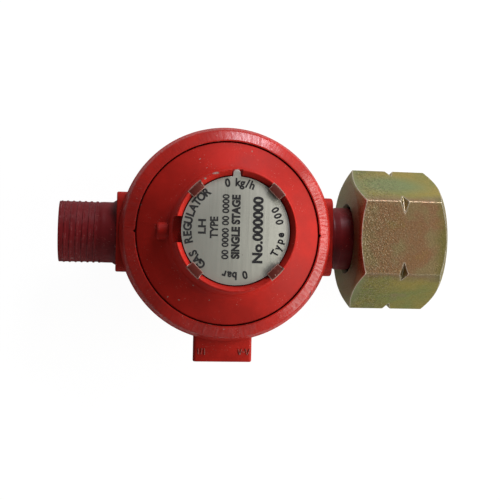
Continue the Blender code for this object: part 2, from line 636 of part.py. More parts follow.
def make_union(plated, steel, spring_steel):
    nut = prism("union_nut", hexagon(NUT_FLATS), nut_start - 0.001, nut_end + 0.001, plated,
                "YZ", (0, 0, PORT_HEIGHT), False)
    slope = math.tan(math.radians(30))
    wide = NUT_FLATS * 0.62
    rise = (wide - NUT_FACE_RADIUS) * slope
    chamfer = port_turned("nut_chamfer", [
        (0, nut_start), (NUT_FACE_RADIUS, nut_start), (wide, nut_start + rise),
        (wide, nut_end - rise), (NUT_FACE_RADIUS, nut_end), (0, nut_end)])
    combine(nut, chamfer, "INTERSECT")
    groove = NUT_FLATS / math.sqrt(3) - NUT_NOTCH_DEPTH
    half = (wide - groove) * math.tan(math.radians(35))
    cut(nut, port_turned("nut_notches", [
        (groove, nut_middle), (wide + 0.001, nut_middle - half * 1.4),
        (wide + 0.001, nut_middle + half * 1.4)]))
    hole = TAIL_BEAD_RADIUS + RUNNING_GAP
    thread = NUT_THREAD_RADIUS
    cut(nut, port_turned("nut_bore", [
        (0, nut_start - 0.001), (hole + 0.00185, nut_start - 0.001), (hole, nut_start + 0.00085),
        (hole, shoulder_inside), (thread, shoulder_inside), (thread, nut_end - 0.0011),
        (thread + 0.0021, nut_end + 0.001), (0, nut_end + 0.001)], steps=32))
    tidy(nut)

    washer_hole = TAIL_RADIUS + RUNNING_GAP
    washer_rim = thread - RUNNING_GAP - 0.0001
    port_turned("slip_washer", ring_outline(washer_hole, washer_rim, washer_start,
                                            washer_start + WASHER_THICKNESS), steel, 32)
    ring = port_turned("retaining_ring", ring_outline(
        TAIL_RADIUS - RING_GROOVE_DEPTH + CLEARANCE, thread - 0.0007, ring_start, ring_end),
        spring_steel, 32)
    cut(ring, block("ring_split", (ring_start - 0.001, -RING_SPLIT / 2, PORT_HEIGHT),
                    (ring_end + 0.001, RING_SPLIT / 2, PORT_HEIGHT + thread)))
    tidy(ring)


def main():
    clear_scene()
    paint = material("red_paint", (0.48, 0.020, 0.014), 0.38, 0.0)
    plated = material("yellow_zinc", (0.30, 0.27, 0.10), 0.34, 1.0)
    steel = material("zinc_steel", (0.55, 0.55, 0.54), 0.38, 1.0)
    spring_steel = material("spring_steel", (0.20, 0.20, 0.21), 0.40, 1.0)
    brass = material("brass", (0.66, 0.47, 0.18), 0.32, 1.0)
    label = material("label_aluminium", (0.56, 0.56, 0.50), 0.42, 1.0)
    rubber = material("black_rubber", (0.025, 0.025, 0.027), 0.75, 0.0)
    gauze = material("steel_gauze", (0.48, 0.47, 0.44), 0.45, 1.0)

    make_housing(paint)
    make_bonnet(paint)
    make_label(label)
    make_diaphragm_stack(rubber, steel, brass)
    make_spring(spring_steel)
    make_adjuster(steel, brass)
    make_valve(steel, brass, rubber)
    make_ports(paint, rubber, gauze)
    make_union(plated, steel, spring_steel)


main()
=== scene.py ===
import json
import math

import bmesh
import bpy
from mathutils import Euler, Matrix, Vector

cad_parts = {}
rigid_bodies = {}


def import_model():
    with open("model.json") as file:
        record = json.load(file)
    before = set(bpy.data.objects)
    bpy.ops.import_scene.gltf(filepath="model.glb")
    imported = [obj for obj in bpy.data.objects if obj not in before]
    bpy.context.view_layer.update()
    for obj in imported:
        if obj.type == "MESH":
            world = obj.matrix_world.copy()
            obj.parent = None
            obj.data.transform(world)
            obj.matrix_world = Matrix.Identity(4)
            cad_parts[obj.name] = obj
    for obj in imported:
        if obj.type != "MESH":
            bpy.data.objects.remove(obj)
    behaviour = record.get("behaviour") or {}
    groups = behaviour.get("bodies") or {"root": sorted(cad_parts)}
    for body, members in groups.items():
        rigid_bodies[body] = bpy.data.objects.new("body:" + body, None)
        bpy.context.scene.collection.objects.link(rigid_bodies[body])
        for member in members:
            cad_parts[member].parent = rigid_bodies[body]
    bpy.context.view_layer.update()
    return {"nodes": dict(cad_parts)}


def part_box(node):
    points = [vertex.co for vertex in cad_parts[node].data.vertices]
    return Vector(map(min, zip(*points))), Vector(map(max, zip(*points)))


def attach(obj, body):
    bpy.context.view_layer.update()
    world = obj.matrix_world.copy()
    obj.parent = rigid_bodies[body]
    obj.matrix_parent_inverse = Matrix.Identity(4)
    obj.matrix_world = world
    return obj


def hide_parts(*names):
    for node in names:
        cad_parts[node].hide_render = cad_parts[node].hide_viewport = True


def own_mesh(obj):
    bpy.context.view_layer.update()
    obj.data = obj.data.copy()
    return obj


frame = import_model()
mm = 0.001

# ---- sizes read from the frame
housingLow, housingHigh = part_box("housing")
labelLow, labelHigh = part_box("label_plate")
nippleLow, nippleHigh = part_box("outlet_nipple")
tailLow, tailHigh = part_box("inlet_tail")
nutLow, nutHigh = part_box("union_nut")
portHeight = (nippleLow.z + nippleHigh.z) / 2
rimRadius = housingHigh.y
rimTop = housingHigh.z
bossReach = housingHigh.x


# ---- mesh helpers
def deselectAll():
    for item in bpy.context.view_layer.objects:
        item.select_set(False)
    bpy.context.view_layer.objects.active = None


def pick(piece):
    deselectAll()
    piece.select_set(True)
    bpy.context.view_layer.objects.active = piece


def openMesh(piece=None, choose="SELECT"):
    if piece:
        pick(piece)
    bpy.ops.object.mode_set(mode="EDIT")
    bpy.ops.mesh.select_all(action=choose)


def closeMesh():
    bpy.ops.object.mode_set(mode="OBJECT")


def joinPieces(pieces, name):
    pick(pieces[0])
    for other in pieces[1:]:
        other.select_set(True)
    bpy.ops.object.join()
    joined = bpy.context.object
    joined.name = joined.data.name = name
    return joined


def place(piece, location=(0, 0, 0), rotation=(0, 0, 0)):
    # Puts a piece where it belongs and leaves its origin at the world's.
    pick(piece)
    piece.location = Vector(piece.location) + Vector(location)
    piece.rotation_euler = rotation
    bpy.ops.object.transform_apply(location=True, rotation=True, scale=True)
    return piece


def softCorners(points, steps=6):
    # Corners given as (radius, height, round) become arcs, the others stay sharp.
    outline = []
    for index, point in enumerate(points):
        if len(point) == 2:
            outline.append(Vector(point))
            continue
        corner = Vector(point[:2])
        toBefore = Vector(points[index - 1][:2]) - corner
        toAfter = Vector(points[(index + 1) % len(points)][:2]) - corner
        half = toBefore.angle(toAfter) / 2
        reach = min(point[2] / math.tan(half), 0.49 * toBefore.length, 0.49 * toAfter.length)
        start = corner + toBefore.normalized() * reach
        stop = corner + toAfter.normalized() * reach
        centre = corner + (toBefore.normalized() + toAfter.normalized()).normalized() * reach / math.cos(half)
        for step in range(steps + 1):
            ray = (start - centre).lerp(stop - centre, step / steps)
            outline.append(centre + ray.normalized() * (start - centre).length)
    return outline


def extrudeRing(shift, ratio, height):
    bpy.ops.mesh.extrude_region_move(TRANSFORM_OT_translate={"value": (0, 0, shift)})
    bpy.ops.transform.resize(value=(ratio, ratio, 1), center_override=(0, 0, height))


def turnPiece(name, outline, along="Z", segments=160, hollow=False, location=(0, 0, 0)):
    # A circle extruded and resized from ring to ring up its outline of (radius, height).
    # A hollow one ends where it started, and its seam is merged.
    points = [Vector(point[:2]) for point in outline]
    if hollow:
        points.append(points[0])
    deselectAll()
    bpy.ops.mesh.primitive_circle_add(vertices=segments, radius=points[0].x, location=(0, 0, points[0].y),
                                      fill_type="NOTHING" if hollow else "NGON")
    piece = bpy.context.object
    piece.name = piece.data.name = name
    bpy.ops.object.transform_apply(location=True)
    openMesh()
    for before, after in zip(points, points[1:]):
        extrudeRing(after.y - before.y, after.x / before.x, after.y)
    bpy.ops.mesh.select_all(action="SELECT")
    if hollow:
        bpy.ops.mesh.remove_doubles(threshold=1e-6)
    bpy.ops.mesh.normals_make_consistent(inside=False)
    closeMesh()
    turn = (0, math.pi / 2, 0) if along == "X" else (0, 0, 0)
    return place(piece, location, turn)


def blockPiece(name, low, high, bevel=0.0, segments=3):
    low, high = Vector(low), Vector(high)
    deselectAll()
    bpy.ops.mesh.primitive_cube_add(size=1, location=(low + high) / 2, scale=high - low)
    piece = bpy.context.object
    piece.name = piece.data.name = name
    bpy.ops.object.transform_apply(location=True, rotation=True, scale=True)
    if bevel:
        openMesh()
        bpy.ops.mesh.bevel(offset=bevel, segments=segments, affect="EDGES")
        closeMesh()
    return piece


def bevelEdgesAlong(piece, axis, offset, segments):
    # Rounds the edges of a block that run along one axis.
    pick(piece)
    bpy.ops.object.mode_set(mode="EDIT")
    bpy.ops.mesh.select_mode(type="EDGE")
    bpy.ops.mesh.select_all(action="DESELECT")
    bm = bmesh.from_edit_mesh(piece.data)
    for edge in bm.edges:
        run = (edge.verts[1].co - edge.verts[0].co).normalized()
        edge.select_set(abs(run[axis]) > 0.99)
    bmesh.update_edit_mesh(piece.data)
    bpy.ops.mesh.bevel(offset=offset, segments=segments, affect="EDGES")
    closeMesh()


def applyModifier(piece, modifier):
    pick(piece)
    bpy.ops.object.modifier_apply(modifier=modifier.name)


def combine(piece, tool, operation="DIFFERENCE"):
    step = piece.modifiers.new(tool.name, "BOOLEAN")
    step.object = tool
    step.operation = operation
    step.solver = "EXACT"
    applyModifier(piece, step)
    bpy.data.objects.remove(tool, do_unlink=True)
    return piece


def bevelSharp(piece, width, segments=2, angle=35):
    step = piece.modifiers.new("edges", "BEVEL")
    step.width = width
    step.segments = segments
    step.limit_method = "ANGLE"
    step.angle_limit = math.radians(angle)
    applyModifier(piece, step)
    return piece


def smooth(piece, angle=32):
    pick(piece)
    bpy.ops.object.shade_smooth_by_angle(angle=math.radians(angle))
    return piece


def evenNormals(piece):
    # Flats keep their own direction where narrow edges meet them.
    step = piece.modifiers.new("normals", "WEIGHTED_NORMAL")
    step.keep_sharp = True
    step.weight = 100
    applyModifier(piece, step)


def clean(piece, distance=0.000004):
    openMesh(piece)
    bpy.ops.mesh.remove_doubles(threshold=distance)
    bpy.ops.mesh.dissolve_degenerate(threshold=distance)
    bpy.ops.mesh.select_all(action="DESELECT")
    closeMesh()
    return piece


def finishPiece(piece, body, material, replaced=()):
    if material and material.name not in [m.name for m in piece.data.materials if m]:
        piece.data.materials.append(material)
    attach(piece, body)
    if replaced:
        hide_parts(*replaced)
    return piece


# ---- material helpers
def nodeGroup(name, inputs, outputs):
    # inputs and outputs are (name, type, default) rows
    group = bpy.data.node_groups.new(name, "ShaderNodeTree")
    for label, kind, default in inputs:
        made = group.interface.new_socket(name=label, in_out="INPUT", socket_type=kind)
        if default is not None:
            made.default_value = default
    for label, kind in outputs:
        group.interface.new_socket(name=label, in_out="OUTPUT", socket_type=kind)
    return group, group.nodes.new("NodeGroupInput"), group.nodes.new("NodeGroupOutput")


def addNode(tree, kind, **settings):
    node = tree.nodes.new(kind)
    for key, value in settings.items():
        setattr(node, key, value)
    return node


def mathNode(tree, operation, first, second=None, clamp=False):
    node = addNode(tree, "ShaderNodeMath", operation=operation, use_clamp=clamp)
    for index, value in enumerate((first, second)):
        if value is None:
            continue
        if isinstance(value, (int, float)):
            node.inputs[index].default_value = value
        else:
            tree.links.new(value, node.inputs[index])
    return node.outputs[0]


def rampNode(tree, source, stops):
    ramp = addNode(tree, "ShaderNodeValToRGB")
    while len(ramp.color_ramp.elements) < len(stops):
        ramp.color_ramp.elements.new(0.5)
    for element, (position, colour) in zip(ramp.color_ramp.elements, stops):
        element.position = position
        element.color = (*colour, 1)
    tree.links.new(source, ramp.inputs[0])
    return ramp.outputs[0]


def mixColour(tree, share, first, second):
    node = addNode(tree, "ShaderNodeMix", data_type="RGBA")
    for socket, value in ((node.inputs[0], share), (node.inputs[6], first), (node.inputs[7], second)):
        if isinstance(value, (int, float)):
            socket.default_value = value
        elif isinstance(value, tuple):
            socket.default_value = (*value, 1)
        else:
            tree.links.new(value, socket)
    return node.outputs[2]


def noiseNode(tree, vector, scale, detail=3.0, roughness=0.55):
    node = addNode(tree, "ShaderNodeTexNoise")
    node.inputs["Scale"].default_value = scale
    node.inputs["Detail"].default_value = detail
    node.inputs["Roughness"].default_value = roughness
    tree.links.new(vector, node.inputs["Vector"])
    return node.outputs["Fac"]


def objectCoords(tree):
    return addNode(tree, "ShaderNodeTexCoord").outputs["Object"]


def makeEdgeWear():
    # Mask that is 1 on outer edges, broken up by noise.
    group, start, end = nodeGroup("edgeWear", [
        ("Width", "NodeSocketFloat", 0.0003), ("Strength", "NodeSocketFloat", 6.0),
        ("Breakup", "NodeSocketFloat", 900.0), ("Cover", "NodeSocketFloat", 0.5)], [("Mask", "NodeSocketFloat")])
    bevel = addNode(group, "ShaderNodeBevel", samples=6)
    group.links.new(start.outputs["Width"], bevel.inputs["Radius"])
    geometry = addNode(group, "ShaderNodeNewGeometry")
    dot = addNode(group, "ShaderNodeVectorMath", operation="DOT_PRODUCT")
    group.links.new(bevel.outputs["Normal"], dot.inputs[0])
    group.links.new(geometry.outputs["Normal"], dot.inputs[1])
    edge = mathNode(group, "SUBTRACT", 1.0, dot.outputs["Value"], clamp=True)
    edge = mathNode(group, "MULTIPLY", edge, start.outputs["Strength"], clamp=True)
    noise = addNode(group, "ShaderNodeTexNoise")
    noise.inputs["Detail"].default_value = 4
    group.links.new(objectCoords(group), noise.inputs["Vector"])
    group.links.new(start.outputs["Breakup"], noise.inputs["Scale"])
    level = mathNode(group, "SUBTRACT", noise.outputs["Fac"], start.outputs["Cover"])
    level = mathNode(group, "MULTIPLY", level, 9.0)
    level = mathNode(group, "ADD", level, 0.5, clamp=True)
    mask = mathNode(group, "MULTIPLY", edge, level, clamp=True)
    group.links.new(mask, end.inputs["Mask"])
    return group


def makeChips():
    # Sparse flecks where paint has been knocked off.
    group, start, end = nodeGroup("chips", [
        ("Scale", "NodeSocketFloat", 260.0), ("Amount", "NodeSocketFloat", 0.12),
        ("Patches", "NodeSocketFloat", 60.0)], [("Mask", "NodeSocketFloat")])
    coords = objectCoords(group)
    wobble = addNode(group, "ShaderNodeTexNoise")
    wobble.inputs["Scale"].default_value = 1500
    group.links.new(coords, wobble.inputs["Vector"])
    shift = addNode(group, "ShaderNodeVectorMath", operation="SCALE")
    group.links.new(wobble.outputs["Color"], shift.inputs[0])
    shift.inputs["Scale"].default_value = 0.0008
    moved = addNode(group, "ShaderNodeVectorMath", operation="ADD")
    group.links.new(coords, moved.inputs[0])
    group.links.new(shift.outputs[0], moved.inputs[1])
    cells = addNode(group, "ShaderNodeTexVoronoi", feature="F1")
    group.links.new(moved.outputs[0], cells.inputs["Vector"])
    group.links.new(start.outputs["Scale"], cells.inputs["Scale"])
    near = mathNode(group, "LESS_THAN", cells.outputs["Distance"], start.outputs["Amount"])
    patches = addNode(group, "ShaderNodeTexNoise")
    group.links.new(coords, patches.inputs["Vector"])
    group.links.new(start.outputs["Patches"], patches.inputs["Scale"])
    where = mathNode(group, "GREATER_THAN", patches.outputs["Fac"], 0.56)
    mask = mathNode(group, "MULTIPLY", near, where, clamp=True)
    group.links.new(mask, end.inputs["Mask"])
    return group


def makeCreaseShade():
    # Painted shade that darkens corners and seams, found by ambient occlusion and broken up by noise.
    group, start, end = nodeGroup("creaseShade", [
        ("Reach", "NodeSocketFloat", 0.002), ("Strength", "NodeSocketFloat", 1.0)], [("Mask", "NodeSocketFloat")])
    occlusion = addNode(group, "ShaderNodeAmbientOcclusion", samples=6)
    group.links.new(start.outputs["Reach"], occlusion.inputs["Distance"])
    hollow = mathNode(group, "SUBTRACT", 1.0, occlusion.outputs["AO"], clamp=True)
    hollow = mathNode(group, "MULTIPLY", hollow, start.outputs["Strength"], clamp=True)
    mottle = noiseNode(group, objectCoords(group), 500, 4)
    mottle = mathNode(group, "ADD", mottle, 0.35, clamp=True)
    group.links.new(mathNode(group, "MULTIPLY", hollow, mottle, clamp=True), end.inputs["Mask"])
    return group


def makeOrangePeel():
    # Slow waves and fine pits of a sprayed and stoved paint.
    group, start, end = nodeGroup("orangePeel", [
        ("Scale", "NodeSocketFloat", 700.0), ("Fine", "NodeSocketFloat", 3500.0)],
        [("Height", "NodeSocketFloat"), ("Mottle", "NodeSocketFloat")])
    coords = objectCoords(group)
    slow = addNode(group, "ShaderNodeTexNoise")
    slow.inputs["Detail"].default_value = 2
    group.links.new(coords, slow.inputs["Vector"])
    group.links.new(start.outputs["Scale"], slow.inputs["Scale"])
    fine = addNode(group, "ShaderNodeTexNoise")
    fine.inputs["Detail"].default_value = 2
    group.links.new(coords, fine.inputs["Vector"])
    group.links.new(start.outputs["Fine"], fine.inputs["Scale"])
    height = mathNode(group, "ADD", slow.outputs["Fac"], mathNode(group, "MULTIPLY", fine.outputs["Fac"], 0.35))
    group.links.new(height, end.inputs["Height"])
    group.links.new(noiseNode(group, coords, 90, 4), end.inputs["Mottle"])
    return group


def makeGrain():
    # Fine lines left by turning, brushing or rolling, drawn out by the Stretch vector.
    group, start, end = nodeGroup("grain", [
        ("Stretch", "NodeSocketVector", (4000, 4000, 40)), ("Turn", "NodeSocketVector", (0, 0, 0))],
        [("Value", "NodeSocketFloat")])
    spin = addNode(group, "ShaderNodeVectorRotate", rotation_type="EULER_XYZ")
    group.links.new(objectCoords(group), spin.inputs["Vector"])
    group.links.new(start.outputs["Turn"], spin.inputs["Rotation"])
    drawn = addNode(group, "ShaderNodeVectorMath", operation="MULTIPLY")
    group.links.new(spin.outputs[0], drawn.inputs[0])
    group.links.new(start.outputs["Stretch"], drawn.inputs[1])
    noise = addNode(group, "ShaderNodeTexNoise")
    noise.inputs["Scale"].default_value = 1
    noise.inputs["Detail"].default_value = 4
    group.links.new(drawn.outputs[0], noise.inputs["Vector"])
    group.links.new(noise.outputs["Fac"], end.inputs["Value"])
    return group


edgeWear, chips, creaseShade = makeEdgeWear(), makeChips(), makeCreaseShade()
orangePeel, grain = makeOrangePeel(), makeGrain()


def newMaterial(name, colour, roughness, metallic):
    material = bpy.data.materials.new(name)
    material.use_nodes = True
    shader = material.node_tree.nodes["Principled BSDF"]
    shader.inputs["Base Color"].default_value = (*colour, 1)
    shader.inputs["Roughness"].default_value = roughness
    shader.inputs["Metallic"].default_value = metallic
    material.diffuse_color = (*colour, 1)
    return material, material.node_tree, shader


def useGroup(tree, group, **values):
    node = addNode(tree, "ShaderNodeGroup", node_tree=group)
    for key, value in values.items():
        node.inputs[key].default_value = value
    return node


def addBump(tree, shader, height, strength, distance):
    bump = addNode(tree, "ShaderNodeBump")
    bump.inputs["Strength"].default_value = strength
    bump.inputs["Distance"].default_value = distance
    tree.links.new(height, bump.inputs["Height"])
    tree.links.new(bump.outputs["Normal"], shader.inputs["Normal"])
    return bump


def distanceTo(tree, coords, point, squash=(1, 1, 1)):
    # Distance from a point, drawn out along the axes.
    away = addNode(tree, "ShaderNodeVectorMath", operation="SUBTRACT")
    tree.links.new(coords, away.inputs[0])
    away.inputs[1].default_value = point
    drawn = addNode(tree, "ShaderNodeVectorMath", operation="MULTIPLY")
    tree.links.new(away.outputs[0], drawn.inputs[0])
    drawn.inputs[1].default_value = squash
    length = addNode(tree, "ShaderNodeVectorMath", operation="LENGTH")
    tree.links.new(drawn.outputs[0], length.inputs[0])
    return length.outputs["Value"]


def fade(tree, value, start, stop, wobble=None, amount=0.0):
    # 0 at start and 1 at stop, with an edge that noise can move about.
    if wobble is not None:
        shift = mathNode(tree, "MULTIPLY", mathNode(tree, "SUBTRACT", wobble, 0.5), amount)
        value = mathNode(tree, "ADD", value, shift)
    node = addNode(tree, "ShaderNodeMapRange")
    node.inputs["From Min"].default_value = start
    node.inputs["From Max"].default_value = stop
    tree.links.new(value, node.inputs["Value"])
    return node.outputs[0]


def redPaint(name, look):
    material, tree, shader = newMaterial(name, look["colour"], look["roughness"], 0.0)
    shader.inputs["Coat Weight"].default_value = look["coat"]
    shader.inputs["Coat Roughness"].default_value = look["coatRoughness"]
    shader.inputs["Specular IOR Level"].default_value = look["specular"]
    coords = objectCoords(tree)
    peel = useGroup(tree, orangePeel, Scale=look["peelScale"])
    wear = useGroup(tree, edgeWear, Width=look["wearWidth"], Strength=look["wearStrength"],
                    Cover=look["wearCover"])
    fleck = useGroup(tree, chips, Scale=look["chipScale"], Amount=look["chipAmount"])
    specks = useGroup(tree, chips, Scale=look["dustScale"], Amount=look["dustAmount"], Patches=220.0)
    shadeInCreases = useGroup(tree, creaseShade, Reach=0.0022, Strength=look["creaseShade"])
    deep = tuple(part * 0.72 for part in look["colour"])
    body = mixColour(tree, rampNode(tree, peel.outputs["Mottle"], [(0.38, (0, 0, 0)), (0.64, (1, 1, 1))]),
                     deep, look["colour"])
    body = mixColour(tree, mathNode(tree, "MULTIPLY", specks.outputs["Mask"], 0.55), body, look["dustColour"])
    # Painted shade in corners and seams.
    body = mixColour(tree, shadeInCreases.outputs["Mask"], body, look["shadeAndNickColour"])
    bare = mathNode(tree, "MAXIMUM", wear.outputs["Mask"], fleck.outputs["Mask"], clamp=True)
    breakup = noiseNode(tree, coords, 2600, 3)
    for point, squash, reach in look["knocks"]:
        knock = fade(tree, distanceTo(tree, coords, point, squash), reach, reach * 0.7, breakup, reach)
        bare = mathNode(tree, "MAXIMUM", bare, knock, clamp=True)
    body = mixColour(tree, bare, body, look["bareColour"])
    # Real dark nicks, drawn in the colour of the painted shade.
    for point, squash, reach in look["nicks"]:
        nick = fade(tree, distanceTo(tree, coords, point, squash), reach, reach * 0.6, breakup, reach * 0.5)
        body = mixColour(tree, nick, body, look["shadeAndNickColour"])
    tree.links.new(body, shader.inputs["Base Color"])
    gloss = mathNode(tree, "MULTIPLY", mathNode(tree, "SUBTRACT", peel.outputs["Mottle"], 0.5), 0.25)
    gloss = mathNode(tree, "ADD", gloss, look["roughness"])
    gloss = mathNode(tree, "ADD", gloss, mathNode(tree, "MULTIPLY", bare, 0.2), clamp=True)
    tree.links.new(gloss, shader.inputs["Roughness"])
    height = mathNode(tree, "SUBTRACT", peel.outputs["Height"], mathNode(tree, "MULTIPLY", bare, 0.8))
    if look["rolling"]:
        # The rolled lip is burnished, with scuffs across it that the rolling tool left.
        split = addNode(tree, "ShaderNodeSeparateXYZ")
        tree.links.new(coords, split.inputs[0])
        angle = mathNode(tree, "ARCTAN2", split.outputs[1], split.outputs[0])
        joined = addNode(tree, "ShaderNodeCombineXYZ")
        tree.links.new(mathNode(tree, "MULTIPLY", angle, look["rolling"]), joined.inputs[0])
        tree.links.new(mathNode(tree, "MULTIPLY", split.outputs[2], 900.0), joined.inputs[1])
        streaks = noiseNode(tree, joined.outputs[0], 1.0, 5)
        lip = fade(tree, split.outputs[2], look["rollingFrom"], look["rollingFrom"] + 0.0010)
        coat = mathNode(tree, "MULTIPLY", mathNode(tree, "SUBTRACT", streaks, 0.30), 2.8, clamp=True)
        coat = mathNode(tree, "MULTIPLY", mathNode(tree, "MULTIPLY", coat, lip), look["lipCoat"])
        tree.links.new(coat, shader.inputs["Coat Weight"])
        scuffs = mathNode(tree, "MULTIPLY", mathNode(tree, "MULTIPLY", streaks, lip), 2.2)
        height = mathNode(tree, "ADD", height, scuffs)
    addBump(tree, shader, height, look["bump"], 0.00006)
    return material


paintLook = {
    "colour": (0.56, 0.018, 0.010), "roughness": 0.55, "coat": 0.0, "coatRoughness": 0.30, "specular": 0.16,
    "peelScale": 900.0, "wearWidth": 0.0004, "wearStrength": 5.0, "wearCover": 0.64,
    "chipScale": 420.0, "chipAmount": 0.10, "creaseShade": 0.9, "shadeAndNickColour": (0.05, 0.007, 0.006),
    "dustScale": 1700.0, "dustAmount": 0.16, "dustColour": (0.62, 0.22, 0.18), "bareColour": (0.40, 0.22, 0.19),
    "knocks": [], "nicks": [], "rolling": 0.0, "bump": 0.6}
bonnetLook = dict(paintLook, knocks=[
    ((-0.0052, 0.0132, 0.0463), (0.7, 1.8, 1.0), 0.0007), ((-0.0075, 0.0118, 0.0463), (1.5, 2.0, 1.0), 0.0005),
    ((0.0054, 0.0206, 0.0306), (2.2, 1.2, 1.0), 0.0004), ((0.0094, 0.0181, 0.0315), (1.4, 1.4, 1.0), 0.0005),
    ((-0.0218, 0.0065, 0.0300), (1.6, 1.0, 1.0), 0.0005)])
housingLook = dict(paintLook, rolling=55.0, rollingFrom=rimTop - 0.0038, lipCoat=0.95, coatRoughness=0.24,
                   nicks=[((0.0212, -0.0150, 0.0284), (8.0, 1.0, 0.3), 0.0014)])
portLook = dict(paintLook, colour=(0.24, 0.013, 0.016), roughness=0.46, specular=0.22, chipScale=420.0,
                chipAmount=0.14, wearCover=0.52, wearWidth=0.00025, bareColour=(0.36, 0.14, 0.14),
                shadeAndNickColour=(0.035, 0.006, 0.008))
stakeLook = dict(paintLook, colour=(0.13, 0.022, 0.015), chipScale=700.0, chipAmount=0.10, wearCover=0.35,
                 wearStrength=9.0, bareColour=(0.55, 0.36, 0.30), creaseShade=0.4)
castLook = dict(paintLook, colour=(0.62, 0.10, 0.08), wearCover=0.45)
housingPaint = redPaint("housingPaint", housingLook)
bonnetPaint = redPaint("bonnetPaint", bonnetLook)
portPaint = redPaint("portPaint", portLook)
stakePaint = redPaint("stakePaint", stakeLook)
castPaint = redPaint("castPaint", castLook)


def metalFinish(name, look):
    material, tree, shader = newMaterial(name, look["colour"], look["roughness"], 1.0)
    lines = useGroup(tree, grain, Stretch=look["stretch"], Turn=look.get("turn", (0, 0, 0)))
    wear = useGroup(tree, edgeWear, Width=look["wearWidth"], Strength=6.0, Cover=0.42)
    shadeInCreases = useGroup(tree, creaseShade, Reach=0.0015, Strength=look["creaseShade"])
    patches = noiseNode(tree, objectCoords(tree), look["patchScale"], 4)
    body = mixColour(tree, rampNode(tree, patches, [(0.36, (0, 0, 0)), (0.66, (1, 1, 1))]),
                     look["shade"], look["colour"])
    body = mixColour(tree, wear.outputs["Mask"], body, look["bright"])
    # Painted shade in corners and seams.
    body = mixColour(tree, shadeInCreases.outputs["Mask"], body, look["shadeAndNickColour"])
    tree.links.new(body, shader.inputs["Base Color"])
    gloss = mathNode(tree, "SUBTRACT", lines.outputs["Value"], 0.5)
    gloss = mathNode(tree, "MULTIPLY", gloss, look["lineGloss"])
    gloss = mathNode(tree, "ADD", gloss, look["roughness"], clamp=True)
    tree.links.new(gloss, shader.inputs["Roughness"])
    addBump(tree, shader, lines.outputs["Value"], look["bump"], 0.00003)
    return material


metalLook = {
    "colour": (0.62, 0.62, 0.60), "shade": (0.42, 0.42, 0.41), "bright": (0.86, 0.86, 0.84),
    "shadeAndNickColour": (0.10, 0.095, 0.085), "roughness": 0.33, "stretch": (6000.0, 300.0, 300.0), "lineGloss": 0.3,
    "bump": 0.3, "wearWidth": 0.0002, "creaseShade": 0.7, "patchScale": 180.0}
zincSteel = metalFinish("zincSteel", metalLook)
springSteel = metalFinish("springSteel", dict(metalLook, colour=(0.11, 0.11, 0.12), shade=(0.05, 0.05, 0.055),
                                              bright=(0.42, 0.42, 0.43), roughness=0.38))
turnedBrass = metalFinish("turnedBrass", dict(metalLook, colour=(0.70, 0.47, 0.16), shade=(0.48, 0.30, 0.09),
                                              bright=(0.92, 0.74, 0.38), shadeAndNickColour=(0.12, 0.07, 0.03)))
steelGauze = metalFinish("steelGauze", dict(metalLook, colour=(0.50, 0.49, 0.46), shade=(0.30, 0.29, 0.27)))


